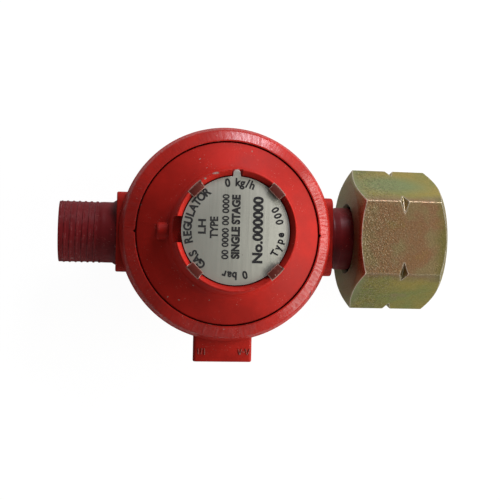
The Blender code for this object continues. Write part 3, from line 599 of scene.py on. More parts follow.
def yellowZinc(look):
    # Passivated zinc: green and olive clouds, a painted pink-brown reflection on the flat that faces up, speckle,
    # painted glints, and light corners that are partly wear and partly a painted highlight.
    material, tree, shader = newMaterial("yellowZinc", look["olive"], look["roughness"], 1.0)
    coords = objectCoords(tree)
    split = addNode(tree, "ShaderNodeSeparateXYZ")
    tree.links.new(coords, split.inputs[0])
    along, height = split.outputs[0], split.outputs[2]
    clouds = noiseNode(tree, coords, look["cloudScale"], 3)
    body = rampNode(tree, clouds, [(0.36, look["gold"]), (0.50, look["olive"]), (0.64, look["green"])])
    body = mixColour(tree, fade(tree, clouds, 0.58, 0.72), body, look["pink"])
    teal = fade(tree, distanceTo(tree, coords, look["tealAt"], (0.55, 1, 1)), 0.0062, 0.0025, clouds, 0.004)
    body = mixColour(tree, teal, body, look["teal"])
    broad = noiseNode(tree, coords, look["broadScale"], 3)
    # Painted reflection: the flat that faces up turns pink-brown, graded by height, and green near the threaded
    # end.
    paintedReflection = fade(tree, height, look["paintedReflectionFrom"], look["paintedReflectionFull"], broad, 0.006)
    flat = mixColour(tree, fade(tree, broad, 0.40, 0.62), look["paintedReflection"], look["paintedReflectionPale"])
    body = mixColour(tree, paintedReflection, body, flat)
    edge = fade(tree, along, nutHigh.x - 0.0036, nutHigh.x - 0.0012, broad, 0.004)
    body = mixColour(tree, mathNode(tree, "MULTIPLY", paintedReflection, edge), body, look["edgeGreen"])
    speck = noiseNode(tree, coords, look["speckScale"], 3, 0.7)
    coarse = mathNode(tree, "ADD", fade(tree, along, nutLow.x + 0.014, nutLow.x + 0.002, broad, 0.008), 0.3)
    grainy = mathNode(tree, "MULTIPLY", fade(tree, speck, 0.46, 0.60), coarse, clamp=True)
    body = mixColour(tree, mathNode(tree, "MULTIPLY", grainy, 0.6), body, look["speckColour"])
    # Painted glints: small light dots scattered on the nut.
    paintedGlint = fade(tree, noiseNode(tree, coords, look["glintScale"], 2), 0.57, 0.66)
    paintedGlint = mathNode(tree, "MULTIPLY", paintedGlint, coarse)
    body = mixColour(tree, mathNode(tree, "MULTIPLY", paintedGlint, 0.7, clamp=True), body, look["paintedGlint"])
    front = fade(tree, along, nutLow.x + 0.0030, nutLow.x + 0.0004, broad, 0.002)
    front = mathNode(tree, "MULTIPLY", front, mathNode(tree, "SUBTRACT", 1.0, paintedReflection))
    body = mixColour(tree, front, body, look["face"])
    # Light corners: partly edge wear and partly a painted highlight.
    wear = useGroup(tree, edgeWear, Width=look["wearWidth"], Strength=9.0, Cover=0.34)
    body = mixColour(tree, wear.outputs["Mask"], body, look["bright"])
    shadeInCreases = useGroup(tree, creaseShade, Reach=0.0018, Strength=0.8)
    # Painted shade in corners and seams.
    body = mixColour(tree, shadeInCreases.outputs["Mask"], body, look["shadeAndNickColour"])
    tree.links.new(body, shader.inputs["Base Color"])
    lines = useGroup(tree, grain, Stretch=(400.0, 5000.0, 5000.0))
    gloss = mathNode(tree, "ADD", mathNode(tree, "MULTIPLY", speck, 0.3), look["roughness"] - 0.15, clamp=True)
    tree.links.new(gloss, shader.inputs["Roughness"])
    rough = mathNode(tree, "MULTIPLY", speck, mathNode(tree, "ADD", coarse, 0.4))
    addBump(tree, shader, mathNode(tree, "ADD", mathNode(tree, "MULTIPLY", lines.outputs["Value"], 0.35), rough),
            0.85, 0.00008)
    return material


nutFinish = yellowZinc({
    "olive": (0.36, 0.34, 0.090), "gold": (0.44, 0.36, 0.085), "pink": (0.41, 0.28, 0.14),
    "green": (0.27, 0.34, 0.10), "teal": (0.29, 0.36, 0.145), "tealAt": (0.0425, 0.0135, 0.0235),
    "paintedReflection": (0.37, 0.185, 0.100), "paintedReflectionPale": (0.36, 0.27, 0.13), "paintedReflectionFrom": 0.0290, "paintedReflectionFull": 0.0318,
    "edgeGreen": (0.25, 0.215, 0.07), "face": (0.31, 0.35, 0.17),
    "speckColour": (0.12, 0.10, 0.045), "paintedGlint": (0.62, 0.52, 0.34), "bright": (0.85, 0.80, 0.66),
    "shadeAndNickColour": (0.05, 0.045, 0.022), "roughness": 0.46, "cloudScale": 95.0, "broadScale": 160.0,
    "speckScale": 2100.0, "glintScale": 2900.0, "wearWidth": 0.0005})


def labelMetal():
    material, tree, shader = newMaterial("labelMetal", (0.60, 0.60, 0.53), 0.45, 0.75)
    lines = useGroup(tree, grain, Stretch=(5000.0, 120.0, 120.0))
    patches = noiseNode(tree, objectCoords(tree), 120, 4)
    body = mixColour(tree, patches, (0.56, 0.57, 0.49), (0.71, 0.72, 0.63))
    fleck = useGroup(tree, chips, Scale=420.0, Amount=0.07, Patches=150.0)
    body = mixColour(tree, fleck.outputs["Mask"], body, (0.32, 0.30, 0.26))
    # Light edges: partly edge wear and partly a painted highlight.
    wear = useGroup(tree, edgeWear, Width=0.0003, Strength=8.0, Cover=0.15)
    body = mixColour(tree, wear.outputs["Mask"], body, (0.90, 0.90, 0.86))
    tree.links.new(body, shader.inputs["Base Color"])
    gloss = mathNode(tree, "ADD", mathNode(tree, "MULTIPLY", lines.outputs["Value"], 0.25), 0.33, clamp=True)
    tree.links.new(gloss, shader.inputs["Roughness"])
    addBump(tree, shader, lines.outputs["Value"], 0.25, 0.00002)
    return material


def plainFinish(name, colour, roughness, scale, bump):
    material, tree, shader = newMaterial(name, colour, roughness, 0.0)
    coords = objectCoords(tree)
    mottle = noiseNode(tree, coords, scale, 5, 0.65)
    dark = tuple(part * 0.6 for part in colour)
    light = tuple(min(1.0, part * 1.5) for part in colour)
    tree.links.new(mixColour(tree, mottle, dark, light), shader.inputs["Base Color"])
    gloss = mathNode(tree, "ADD", mathNode(tree, "MULTIPLY", mottle, 0.3), roughness - 0.15, clamp=True)
    tree.links.new(gloss, shader.inputs["Roughness"])
    addBump(tree, shader, mottle, bump, 0.00003)
    return material


labelFinish = labelMetal()
printInk = plainFinish("printInk", (0.010, 0.010, 0.011), 0.7, 900, 0.15)
blackRubber = plainFinish("blackRubber", (0.022, 0.022, 0.024), 0.7, 700, 0.5)
print("materials done")


# ---- housing casting
housing = {
    "bowlRadius": 0.0224, "backCorner": 0.0210, "backRound": 0.0035, "rimFoot": 0.0175, "lipInner": 0.0230,
    "lipThickness": 0.0016, "counterbore": 0.0245, "seatPlane": 0.0243, "chamber": 0.0195, "floor": 0.0040,
    "slopeWidth": 0.0026, "slopeDrop": 0.0013, "lipEdge": 0.0003, "shoulderDrop": 0.0042,
    "bossWidth": 0.0202, "bossHeight": 0.0180, "lugWidth": 0.0152, "lugHeight": 0.0130, "lugDraft": 0.0011,
    "port": 0.0073, "guide": (0.0055, 0.0055, 0.0210), "kink": 0.0005}
strokeRow = -0.0299
strokes = [  # place along the boss, turn in degrees, length
    (-0.0062, 4, 0.0015), (-0.0054, -8, 0.0016), (-0.0046, 2, 0.0017), (0.0042, 14, 0.0015),
    (0.0047, -14, 0.0015), (0.0054, 80, 0.0007), (0.0061, 18, 0.0016), (0.0067, -20, 0.0015)]


def cornerBoss(name, low, high, axis, rounding):
    boss = blockPiece(name, low, high)
    bevelEdgesAlong(boss, axis, rounding, 6)
    return bevelSharp(boss, 0.0004, 3, 60)


def makeHousing(size):
    lipEdge = size["lipInner"] + size["lipEdge"]
    casting = turnPiece("housingCasting", softCorners([
        (0.008, 0), (size["backCorner"], 0, size["backRound"]),
        (size["bowlRadius"], size["rimFoot"] - 0.0020, 0.0015), (rimRadius, size["rimFoot"], 0.0012),
        (rimRadius, rimTop - size["shoulderDrop"], 0.0012),
        (lipEdge + size["slopeWidth"], rimTop - size["slopeDrop"], 0.0012),
        (lipEdge, rimTop, 0.0003), (0.008, rimTop)], 8), segments=192)
    halfWidth, halfHeight = size["bossWidth"] / 2, size["bossHeight"] / 2
    inner = size["chamber"] * 0.6
    for side in (-1, 1):
        ends = sorted((side * inner, side * bossReach))
        boss = cornerBoss("boss", (ends[0], -halfWidth, portHeight - halfHeight),
                          (ends[1], halfWidth, portHeight + halfHeight), 0, 0.0024)
        combine(casting, boss, "UNION")
    lug = cornerBoss("lug", (-size["lugWidth"] / 2, housingLow.y, portHeight - size["lugHeight"] / 2),
                     (size["lugWidth"] / 2, -inner, portHeight + size["lugHeight"] / 2), 1, 0.0009)
    narrow = 2 * size["lugDraft"] / size["lugWidth"]
    for vert in lug.data.vertices:
        # The blank boss narrows towards the back, as it leaves its mould.
        vert.co.x *= 1 - narrow * (portHeight + size["lugHeight"] / 2 - vert.co.z) / size["lugHeight"]
    combine(casting, lug, "UNION")
    combine(casting, turnPiece("chamber", [
        (0.010, size["floor"]), (size["chamber"] - 0.0015, size["floor"]),
        (size["chamber"], size["floor"] + 0.0015),
        (size["chamber"], size["seatPlane"]), (size["counterbore"], size["seatPlane"]),
        (size["counterbore"], rimTop - size["lipThickness"]), (size["lipInner"], rimTop - size["lipThickness"]),
        (size["lipInner"], rimTop + 0.001), (0.010, rimTop + 0.001)], segments=184))
    start, half, top = size["guide"]
    guide = blockPiece("guide", (start, -half, size["floor"] / 2), (size["chamber"] + 0.001, half, top))
    combine(casting, guide, "UNION")
    for side in (-1, 1):
        # The lip parts slightly where it meets the port bosses.
        kink = turnPiece("kink", [(0.0016, rimTop - size["lipThickness"] - 0.0001), (0.0016, rimTop + 0.001)],
                         segments=4)
        kink = place(kink, location=(side * (size["lipInner"] + size["kink"] - 0.0016), 0, 0))
        combine(casting, kink)
    port = size["port"]
    bores = [[(0.0034, start - 0.001), (0.0034, 0.0142), (0.0048, 0.0142), (0.0048, 0.0195),
              (port, 0.0195), (port, bossReach - 0.0004), (port + 0.0006, bossReach + 0.0002),
              (port + 0.0006, bossReach + 0.001)],
             [(port, -bossReach - 0.001), (port, -0.0150)]]
    for outline in bores:
        combine(casting, turnPiece("bore", outline, "X", 64, location=(0, 0, portHeight)))
    combine(casting, blockPiece("leverSlot", (start - 0.001, -0.0015, 0.0055), (0.0103, 0.0015, portHeight)))
    combine(casting, blockPiece("gasWindow", (0.0121, -0.011, 0.0138), (0.0140, 0.011, 0.0182)))
    pinHole = turnPiece("pinHole", [(0.0013, -0.008), (0.0013, 0.008)], segments=32)
    pinHole = place(pinHole, rotation=(math.pi / 2, 0, 0))
    combine(casting, place(pinHole, location=(0.0075, 0, 0.010)))
    clean(casting)
    bevelSharp(casting, 0.00022, 2, 50)
    smooth(casting, 40)
    return finishPiece(casting, "regulator_body", housingPaint, ["housing"])


makeHousing(housing)


def makeCastMarks(size):
    # Worn strokes of a foundry mark on the blank boss.
    top = portHeight + size["lugHeight"] / 2
    made = []
    for along, turn, length in strokes:
        stroke = blockPiece("stroke", (-0.00009, -length / 2, top - 0.0001), (0.00009, length / 2, top + 0.00014),
                            0.00005, 2)
        made.append(place(stroke, (along, strokeRow, 0), (0, 0, math.radians(turn))))
    marks = joinPieces(made, "castMarks")
    smooth(marks)
    return finishPiece(marks, "regulator_body", castPaint)


makeCastMarks(housing)
print("housing done")


# ---- bonnet with its hub, stakes, vent slot and hood
bonnet = {
    "bore": 0.0110, "shelf": 0.0442, "crest": 0.0140, "hubTop": 0.0465, "hub": 0.01435, "hubFoot": 0.0152,
    "footHeight": 0.0334, "labelHole": 0.01295, "step": 0.0227, "flange": 0.0242, "flangeTop": 0.0281,
    "flangeUnder": 0.0265, "stakeReach": 0.0122, "stakeHalf": 0.0018, "notch": 0.0025, "slot": 0.0061,
    "slotDepth": 0.0014, "hood": 0.00215, "hoodHeight": 0.0330, "hole": 0.0008}


def makeBonnet(size):
    top, label = size["hubTop"], labelHigh.z
    cover = turnPiece("bonnetCasting", softCorners([
        (size["bore"], size["footHeight"] + 0.0006), (size["bore"], size["shelf"]),
        (size["labelHole"], size["shelf"]),
        (size["labelHole"], label), (size["crest"], top, 0.0002), (size["hub"], top - 0.0005, 0.0005),
        (size["hubFoot"], size["footHeight"] + 0.0002, 0.0034), (size["step"], rimTop - 0.0003, 0.0004),
        (size["step"], size["flangeTop"]), (size["flange"], size["flangeTop"]),
        (size["flange"], size["flangeUnder"]),
        (0.0205, size["flangeUnder"]), (0.0155, rimTop + 0.0008)], 8), segments=176, hollow=True)
    outside = size["hub"] + 0.002
    combine(cover, blockPiece("tabNotch", (-size["notch"] / 2, size["bore"] + 0.001, size["shelf"] + 0.0001),
                              (size["notch"] / 2, outside, top + 0.001)))
    combine(cover, blockPiece("ventSlot", (-outside, -size["slot"] / 2, size["shelf"] - size["slotDepth"]),
                              (-size["bore"] - 0.001, size["slot"] / 2, top + 0.001)))
    for number in range(4):
        turn = (0, 0, math.radians(45 + 90 * number))
        half = size["stakeHalf"]
        flat = blockPiece("flat", (size["labelHole"] - 0.0006, -half - 0.0001, label + 0.0008),
                          (outside, half + 0.0001, top + 0.001))
        combine(cover, place(flat, rotation=turn))
        stake = blockPiece("stake", (size["stakeReach"], -half, label + 0.0003),
                           (size["crest"] + 0.00015, half, label + 0.00086), 0.00012, 2)
        stake.data.materials.append(stakePaint)
        combine(cover, place(stake, rotation=turn), "UNION")
    around = size["hood"]
    hood = turnPiece("hood", [(around - 0.0003, -0.0178), (around, -0.0175), (around, -0.0132)], "X", 48,
                     location=(0, 0, size["hoodHeight"]))
    combine(cover, hood, "UNION")
    combine(cover, turnPiece("ventHole", [(size["hole"], -0.0190), (size["hole"], -0.0090)], "X", 24,
                             location=(0, 0, size["hoodHeight"] + 0.0006)))
    clean(cover)
    cover.data.materials.clear()
    cover.data.materials.append(bonnetPaint)
    cover.data.materials.append(stakePaint)
    for face in cover.data.polygons:
        middle = face.center
        reach = math.hypot(middle.x, middle.y)
        across = abs((math.degrees(math.atan2(middle.y, middle.x)) % 90) - 45)
        onStake = reach > size["stakeReach"] - 0.0002 and middle.z > label + 0.0002 and across < 8.6
        face.material_index = 1 if onStake else 0
    bevelSharp(cover, 0.00014, 2, 50)
    smooth(cover, 40)
    return finishPiece(cover, "regulator_body", None, ["bonnet"])


makeBonnet(bonnet)
print("bonnet done")


# ---- threads
def threadRidge(name, look):
    # One tooth drawn as a small quad, then swept by a Screw modifier along a left-hand helix.
    tooth = look["tooth"]
    deselectAll()
    bpy.ops.mesh.primitive_plane_add(size=1)
    ridge = bpy.context.object
    ridge.name = name
    root, crest = look["root"], look["crest"]
    corners = [(root, 0, -tooth / 2), (crest, 0, -tooth * 0.13), (crest, 0, tooth * 0.13), (root, 0, tooth / 2)]
    bpy.ops.object.mode_set(mode="EDIT")
    bm = bmesh.from_edit_mesh(ridge.data)
    for vert, corner in zip(list(bm.faces)[0].verts, corners):
        vert.co = Vector(corner) + Vector((0, 0, look["start"]))
    bmesh.update_edit_mesh(ridge.data)
    bpy.ops.mesh.delete(type="ONLY_FACE")
    closeMesh()
    screw = ridge.modifiers.new("helix", "SCREW")
    screw.axis = "Z"
    screw.angle = -2 * math.pi * look["turns"]
    screw.screw_offset = look["pitch"] * look["turns"]
    screw.steps = screw.render_steps = round(look["segments"] * look["turns"])
    screw.use_merge_vertices = False
    applyModifier(ridge, screw)
    bpy.ops.object.mode_set(mode="EDIT")
    bpy.ops.mesh.select_mode(type="EDGE")
    bpy.ops.mesh.select_all(action="SELECT")
    bpy.ops.mesh.remove_doubles(threshold=1e-7)
    bpy.ops.mesh.select_all(action="DESELECT")
    bpy.ops.mesh.select_non_manifold()
    bpy.ops.mesh.edge_face_add()
    bpy.ops.mesh.select_all(action="SELECT")
    bpy.ops.mesh.normals_make_consistent(inside=False)
    closeMesh()
    return place(ridge, (0, 0, portHeight), (0, math.pi / 2, 0))


nipple = {"bore": 0.0046, "neck": 0.00782, "crest": 0.0079, "root": 0.00768, "pitch": 0.0015, "thread": 0.0111,
          "stub": 0.0070, "chamfer": 0.0006}


def makeNipple(size):
    end = nippleLow.x
    face = -bossReach - 0.00005
    runout = end + size["thread"]
    bore, core, neck = size["bore"], size["root"], size["neck"]
    piece = turnPiece("outletNipple", [
        (bore, end + 0.0006), (bore + 0.0006, end), (core + 0.00005, end), (core + 0.0001, end + 0.0001),
        (core, runout - 0.0009), (core + 0.0001, runout - 0.0007), (neck, runout + 0.0001),
        (neck, face - 0.00085), (neck + 0.0005, face - 0.00007), (neck + 0.0005, face), (size["stub"], face),
        (size["stub"], nippleHigh.x), (bore, nippleHigh.x)], "X", 128, True, (0, 0, portHeight))
    ridge = threadRidge("nippleThread", {
        "root": core - 0.0003, "crest": size["crest"], "tooth": size["pitch"] * 0.93, "pitch": size["pitch"],
        "start": end - size["pitch"] * 0.4, "turns": size["thread"] / size["pitch"] - 0.1, "segments": 96})
    cone = turnPiece("threadEnd", [
        (size["crest"] - size["chamfer"], end), (size["crest"] + 0.0001, end + size["chamfer"] + 0.0001),
        (size["crest"] + 0.0001, runout - 0.0009), (size["neck"] - 0.0002, runout - 0.00005),
        ], "X", 96, False, (0, 0, portHeight))
    combine(ridge, cone, "INTERSECT")
    combine(piece, ridge, "UNION")
    clean(piece)
    smooth(piece, 38)
    return finishPiece(piece, "regulator_body", portPaint, ["outlet_nipple"])


makeNipple(nipple)
print("nipple done")

tail = {"bore": 0.0048, "stub": 0.0070, "neck": 0.0078, "bead": 0.0082, "outer": 0.0079, "groove": 0.0071,
        "pocket": 0.0073}


def makeTail(size):
    ringLow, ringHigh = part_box("retaining_ring")
    face = bossReach + 0.00005
    outline = softCorners([
        (size["bore"], tailLow.x), (size["stub"] - 0.0004, tailLow.x), (size["stub"], tailLow.x + 0.0004),
        (size["stub"], face), (size["neck"] + 0.0004, face), (size["neck"], face + 0.0006, 0.0004),
        (size["neck"], face + 0.0010, 0.0006), (size["bead"], face + 0.0024, 0.0016),
        (size["bead"], nutLow.x + 0.0004, 0.0014), (size["outer"], nutLow.x + 0.0014),
        (size["outer"], ringLow.x - 0.0003), (size["groove"], ringLow.x - 0.0003),
        (size["groove"], ringHigh.x + 0.0003), (size["outer"], ringHigh.x + 0.0003),
        (size["outer"], tailHigh.x, 0.0004), (size["pocket"], tailHigh.x), (size["pocket"], tailHigh.x - 0.0011),
        (size["bore"], tailHigh.x - 0.0011)], 6)
    piece = turnPiece("inletTail", outline, "X", 128, True, (0, 0, portHeight))
    bevelSharp(piece, 0.0001, 2, 50)
    smooth(piece, 38)
    return finishPiece(piece, "regulator_body", portPaint, ["inlet_tail"])


makeTail(tail)
print("tail done")

# ---- union nut
nut = {"face": 0.0152, "hole": 0.0085, "shoulder": 0.0040, "bore": 0.0109, "minor": 0.0100, "pitch": 0.001814,
       "notchDepth": 0.00136, "notchSlope": 38, "corner": 0.00022, "chamfers": (26, 31)}


def makeNut(size):
    flats = nutHigh.z - nutLow.z
    corner = flats / math.sqrt(3)
    start, end = nutLow.x, nutHigh.x
    middle = (start + end) / 2
    deselectAll()
    bpy.ops.mesh.primitive_cylinder_add(vertices=6, radius=corner, depth=end - start + 0.002,
                                        end_fill_type="NGON", rotation=(0, 0, math.radians(30)))
    piece = bpy.context.object
    piece.name = piece.data.name = "unionNut"
    bpy.ops.object.transform_apply(rotation=True)
    place(piece, (middle, 0, portHeight), (0, math.pi / 2, 0))
    low = min(vert.co.z for vert in piece.data.vertices)
    if abs(low - nutLow.z) > 0.0003:
        openMesh(piece)
        bpy.ops.transform.rotate(value=math.radians(30), orient_axis="X", center_override=(middle, 0, portHeight))
        closeMesh()
    bevelEdgesAlong(piece, 0, size["corner"], 3)
    wide = corner * 1.1
    rises = [(wide - size["face"]) * math.tan(math.radians(angle)) for angle in size["chamfers"]]
    combine(piece, turnPiece("chamfers", [
        (size["face"], start), (wide, start + rises[0]), (wide, end - rises[1]), (size["face"], end)], "X", 240,
        location=(0, 0, portHeight)), "INTERSECT")
    groove = corner - size["notchDepth"]
    half = (wide + 0.001 - groove) * math.tan(math.radians(size["notchSlope"]))
    combine(piece, turnPiece("notches", [
        (groove, middle - 0.00008), (wide + 0.001, middle - half), (wide + 0.001, middle + half),
        (groove, middle + 0.00008)], "X", 240, True, (0, 0, portHeight)))
    inside = start + size["shoulder"]
    combine(piece, turnPiece("bore", [
        (size["hole"] + 0.00185, start - 0.001), (size["hole"], start + 0.00085), (size["hole"], inside),
        (size["minor"], inside), (size["minor"], end - 0.0012), (size["bore"] + 0.0014, end + 0.001)], "X", 144,
        location=(0, 0, portHeight)))
    relief = turnPiece("relief", [(size["bore"], inside + 0.0003), (size["bore"], inside + 0.0028)], "X", 144,
                       location=(0, 0, portHeight))
    combine(piece, relief)
    groovePiece = threadRidge("nutThread", {
        "root": size["minor"] - 0.0003, "crest": size["bore"], "tooth": size["pitch"] * 0.94,
        "pitch": size["pitch"], "start": inside + 0.0022, "turns": (end - inside) / size["pitch"] - 0.6,
        "segments": 96})
    combine(piece, groovePiece)
    clean(piece)
    bevelSharp(piece, 0.00012, 2, 40)
    smooth(piece, 30)
    evenNormals(piece)
    return finishPiece(piece, "nut", nutFinish, ["union_nut"])


makeNut(nut)
print("nut done")


# ---- small parts that show in the nut's mouth
def ringPiece(name, node, inner, outer, rounding, finish, body, split=0.0):
    low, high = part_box(node)
    piece = turnPiece(name, softCorners([
        (inner, low.x, rounding), (outer, low.x, rounding), (outer, high.x, rounding),
        (inner, high.x, rounding)], 4),
        "X", 128, True, (0, 0, portHeight))
    if split:
        combine(piece, blockPiece("split", (low.x - 0.001, -split / 2, portHeight),
                                  (high.x + 0.001, split / 2, portHeight + outer + 0.001)))
        bevelSharp(piece, 0.0001, 2, 50)
    smooth(piece)
    return finishPiece(piece, body, finish, [node])


# The washer's hole is 0.2 mm wider than the slip_washer node's, whose own hole doesn't clear the tail's bead.
ringPiece("slipWasher", "slip_washer", 0.0084, 0.0096, 0.00015, zincSteel, "nut_washer")
ringPiece("retainingRing", "retaining_ring", 0.0074, 0.0093, 0.0005, springSteel,
          "regulator_body", 0.004)
ringPiece("inletSeal", "inlet_seal", 0.0050, 0.0070, 0.0005, blackRubber, "regulator_body")

strainer = {"outer": 0.0045, "wall": 0.0005, "bottom": 0.0022, "rows": 3, "hole": 0.0004, "spacing": 0.00105}


def makeStrainer(size):
    low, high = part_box("inlet_strainer")
    outer, inner = size["outer"], size["outer"] - size["wall"]
    cup = turnPiece("inletStrainer", softCorners([
        (0.0006, low.x), (outer, low.x, size["bottom"]), (outer, high.x, 0.0001), (inner, high.x, 0.0001),
        (inner, low.x + size["wall"], size["bottom"] - 0.0004), (0.0006, low.x + size["wall"])], 6),
        "X", 96, True, (0, 0, portHeight))
    holes = []
    for ring in range(1, size["rows"] + 1):
        for step in range(ring * 6):
            angle = 2 * math.pi * step / (ring * 6)
            reach = size["spacing"] * ring
            centre = (0, reach * math.cos(angle), portHeight + reach * math.sin(angle))
            outline = [(size["hole"], low.x - 0.001), (size["hole"], low.x + 0.0016)]
            holes.append(turnPiece("hole", outline, "X", 12, location=centre))
    combine(cup, joinPieces(holes, "holes"))
    clean(cup)
    smooth(cup)
    return finishPiece(cup, "regulator_body", steelGauze, ["inlet_strainer"])


makeStrainer(strainer)
print("mouth parts done")

# ---- label plate and its print
label = {"radius": 0.01265, "tab": 0.00165, "edge": 0.00010, "fillet": 0.0004}


def makeLabel(size):
    disc = turnPiece("labelPlate", [(size["radius"], labelLow.z), (size["radius"], labelHigh.z)], segments=160)
    half = size["tab"] / 2
    tip = labelHigh.y - half
    strip = blockPiece("tab", (-half, size["radius"] - 0.002, labelLow.z), (half, tip, labelHigh.z))
    end = turnPiece("tabEnd", [(half * 1.0001, labelLow.z), (half * 1.0001, labelHigh.z)], segments=32)
    combine(strip, place(end, location=(0, tip, 0)), "UNION")
    combine(disc, strip, "UNION")
    clean(disc)
    pick(disc)
    bpy.ops.object.mode_set(mode="EDIT")
    bpy.ops.mesh.select_mode(type="EDGE")
    bpy.ops.mesh.select_all(action="DESELECT")
    bm = bmesh.from_edit_mesh(disc.data)
    root = math.sqrt(size["radius"] ** 2 - half ** 2)
    for edge in bm.edges:
        ends = [vert.co for vert in edge.verts]
        upright = (ends[0] - ends[1]).xy.length < 1e-6
        atRoot = all(abs(abs(end.x) - half) < 3e-5 and abs(end.y - root) < 8e-5 for end in ends)
        edge.select_set(upright and atRoot)
    bmesh.update_edit_mesh(disc.data)
    bpy.ops.mesh.bevel(offset=size["fillet"], segments=5, affect="EDGES")
    closeMesh()
    bevelSharp(disc, size["edge"], 2, 50)
    smooth(disc)
    return finishPiece(disc, "regulator_body", labelFinish, ["label_plate"])


makeLabel(label)


def letterPiece(words, size, bold, narrow):
    deselectAll()
    bpy.ops.object.text_add()
    letters = bpy.context.object
    letters.data.body = words
    letters.data.size = size
    letters.data.align_x = "CENTER"
    letters.data.align_y = "CENTER"
    letters.data.offset = bold
    letters.data.extrude = 0.00002
    letters.data.resolution_u = 6
    bpy.ops.object.convert(target="MESH")
    letters = bpy.context.object
    letters.scale = (narrow, 1, 1)
    bpy.ops.object.transform_apply(scale=True)
    return letters


def makePrint():
    # Straight lines read from bottom to top. Curved ones run round the rim, outward or inward.
    height = labelHigh.z + 0.00001
    # Words, place across and along in mm, size, boldness and width
    straight = [
        ("LH", -7.8, 0.8, 2.4, 0.08, 1.25), ("TYPE", -5.0, 0.65, 2.5, 0.09, 0.9),
        ("00 0000 00 0000", -2.35, 0.87, 2.15, 0.06, 1.03), ("SINGLE STAGE", 0.07, 0.9, 2.55, 0.13, 0.90),
        ("No.000000", 5.28, 0.25, 3.15, 0.13, 1.09)]
    # Words, distance out in mm, first and last angle, size, boldness and width
    curved = [
        ("GAS REGULATOR", 11.15, 225.0, 129.0, 2.6, 0.105, 0.92, True),
        ("0 kg/h", 11.2, 101.0, 71.0, 2.6, 0.10, 0.92, True),
        ("0 bar", 10.4, -77.0, -104.0, 2.5, 0.10, 0.92, True),
        ("Type 000", 10.6, -28.6, 29.0, 2.4, 0.09, 0.95, False)]
    made = []
    for words, x, y, size, bold, narrow in straight:
        line = letterPiece(words, size * mm, bold * mm, narrow)
        made.append(place(line, (x * mm, y * mm, height), (0, 0, math.pi / 2)))
    for words, reach, first, last, size, bold, narrow, outward in curved:
        for index, letter in enumerate(words):
            if letter == " ":
                continue
            angle = math.radians(first + (last - first) * index / (len(words) - 1))
            turn = angle - math.pi / 2 if outward else angle + math.pi / 2
            one = letterPiece(letter, size * mm, bold * mm, narrow)
            spot = (reach * mm * math.cos(angle), reach * mm * math.sin(angle), height)
            made.append(place(one, spot, (0, 0, turn)))
    return finishPiece(joinPieces(made, "labelPrint"), "regulator_body", printInk)


makePrint()
print("label done")


# ---- working parts inside
spring = {"wire": 0.001, "radius": 0.0078, "turns": 3.6, "lift": 0.0013, "drop": 0.0015}


def makeSpring(size):
    low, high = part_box("main_spring")
    wire, turns = size["wire"], size["turns"]
    deselectAll()
    bpy.ops.mesh.primitive_circle_add(vertices=20, radius=wire, location=(size["radius"], 0, low.z + wire),
                                      rotation=(math.pi / 2, 0, 0), fill_type="NOTHING")
    coil = bpy.context.object
    coil.name = coil.data.name = "springCoil"
    bpy.ops.object.transform_apply(location=True, rotation=True)
    screw = coil.modifiers.new("helix", "SCREW")
    screw.angle = 2 * math.pi * turns
    screw.screw_offset = high.z - low.z - 2 * wire
    screw.steps = screw.render_steps = round(64 * turns)
    applyModifier(coil, screw)
    bpy.ops.object.mode_set(mode="EDIT")
    bpy.ops.mesh.select_mode(type="EDGE")
    bpy.ops.mesh.select_all(action="DESELECT")
    bpy.ops.mesh.select_non_manifold()
    bpy.ops.mesh.edge_face_add()
    bpy.ops.mesh.select_all(action="SELECT")
    bpy.ops.mesh.normals_make_consistent(inside=False)
    closeMesh()
    # The lower half shortens as the plate lifts, the upper half as the seat comes down.
    middle = (low.z + high.z) / 2
    halves = [("springLower", False, "diaphragm_lift", size["lift"]),
              ("springUpper", True, "seat_slide", size["drop"])]
    for name, upper, joint, travel in halves:
        half = coil.copy()
        half.data = coil.data.copy()
        half.name = half.data.name = name
        bpy.context.collection.objects.link(half)
        openMesh(half)
        bpy.ops.mesh.bisect(plane_co=(0, 0, middle), plane_no=(0, 0, 1), use_fill=True,
                            clear_inner=upper, clear_outer=not upper)
        closeMesh()
        smooth(half, 60)
        finishPiece(half, "regulator_body", springSteel, ["main_spring"] if upper else [])
        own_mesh(half)
    bpy.data.objects.remove(coil, do_unlink=True)


makeSpring(spring)

diaphragm = {"hole": 0.0023, "inner": 0.0146, "ridge": 0.0168, "outer": 0.0194, "clamp": 0.0201, "rim": 0.0242,
             "thick": 0.0012, "clampUnder": 0.0246, "clampTop": 0.0262, "keep": 0.41}


def makeDiaphragm(size):
    low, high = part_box("diaphragm")
    under, top = low.z, low.z + size["thick"]
    piece = turnPiece("diaphragmRubber", softCorners([
        (size["hole"], under), (size["inner"], under, 0.0008), (size["ridge"], high.z - size["thick"], 0.0022),
        (size["outer"], size["clampUnder"], 0.0004), (size["rim"], size["clampUnder"], 0.0002),
        (size["rim"], size["clampTop"], 0.0002), (size["clamp"], size["clampTop"], 0.0004),
        (size["ridge"], high.z, 0.0030), (size["inner"] - 0.0017, top, 0.0008), (size["hole"], top)], 6),
        "Z", 128, True)
    smooth(piece, 40)
    finishPiece(piece, "regulator_body", blackRubber, ["diaphragm"])
    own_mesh(piece)


makeDiaphragm(diaphragm)

nodeFinishes = {
    "inlet_nozzle": turnedBrass, "nozzle_gasket": blackRubber, "valve_plunger": turnedBrass,
    "valve_seat_pad": blackRubber, "valve_lever": zincSteel, "lever_pin": springSteel,
    "diaphragm_stem": turnedBrass, "lower_diaphragm_plate": zincSteel, "upper_diaphragm_plate": zincSteel,
    "stem_nut": zincSteel, "spring_seat": zincSteel, "adjusting_plug": turnedBrass}
for nodeName, finish in nodeFinishes.items():
    node = frame["nodes"][nodeName]
    node.data.materials.clear()
    node.data.materials.append(finish)
print("inside done")

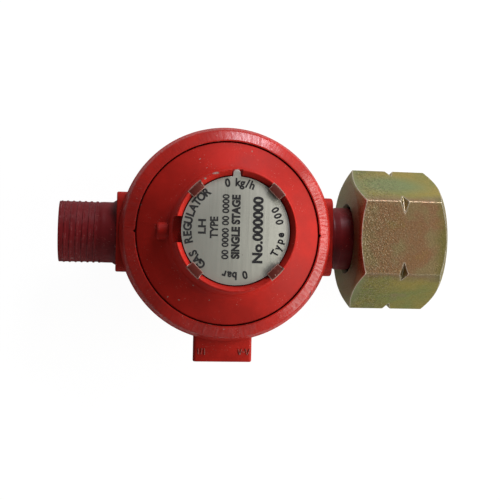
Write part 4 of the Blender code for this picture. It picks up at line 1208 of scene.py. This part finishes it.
# ---- floor, light and camera
deselectAll()
bpy.ops.mesh.primitive_plane_add(size=6, location=(0, 0, -0.0001))
floor = bpy.context.object
floor.name = "floor"
floorFinish, floorTree, floorShader = newMaterial("floorFinish", (0.58, 0.58, 0.58), 0.9, 0.0)
# The floor looks evenly lit from the camera and throws little light back on the object.
glow = addNode(floorTree, "ShaderNodeEmission")
glow.inputs["Color"].default_value = (1, 1, 1, 1)
glow.inputs["Strength"].default_value = 1.12
seen = mathNode(floorTree, "MULTIPLY", addNode(floorTree, "ShaderNodeLightPath").outputs["Is Camera Ray"], 0.86)
shared = addNode(floorTree, "ShaderNodeMixShader")
floorTree.links.new(seen, shared.inputs[0])
floorTree.links.new(floorShader.outputs[0], shared.inputs[1])
floorTree.links.new(glow.outputs[0], shared.inputs[2])
floorTree.links.new(shared.outputs[0], floorTree.nodes["Material Output"].inputs["Surface"])
floor.data.materials.append(floorFinish)

world = bpy.data.worlds.new("studio")
bpy.context.scene.world = world
world.use_nodes = True
world.node_tree.nodes["Background"].inputs[0].default_value = (1, 1, 1, 1)
world.node_tree.nodes["Background"].inputs[1].default_value = 0.13


def softLight(name, location, target, size, power, colour=(1, 1, 1)):
    data = bpy.data.lights.new(name, "AREA")
    data.shape = "RECTANGLE"
    data.size, data.size_y = size
    data.energy = power
    data.color = colour
    lamp = bpy.data.objects.new(name, data)
    lamp.location = location
    lamp.rotation_euler = (Vector(target) - Vector(location)).to_track_quat("-Z", "Y").to_euler()
    bpy.context.collection.objects.link(lamp)


softLight("windowLight", (0.56, -0.04, 0.30), (0.01, 0, 0.02), (0.90, 0.26), 5.0, (1.0, 0.97, 0.93))
softLight("topLight", (0.15, 0.44, 0.27), (0, 0, 0.02), (0.20, 0.14), 1.6, (0.96, 0.92, 1.0))
softLight("fillLight", (0.05, -0.50, 0.26), (0.01, 0, 0.02), (0.40, 0.30), 0.2)

camera = bpy.data.objects.new("camera", bpy.data.cameras.new("camera"))
bpy.context.collection.objects.link(camera)
camera.location = (-0.02647, -0.00999, 0.24787 + portHeight)
camera.rotation_euler = Euler((0.0224, -0.1363, 0.0220))
camera.data.sensor_width = 36
camera.data.lens = 68.4144
camera.data.clip_start = 0.01
bpy.context.scene.camera = camera
bpy.context.scene.view_settings.view_transform = "Standard"
print("stage done")
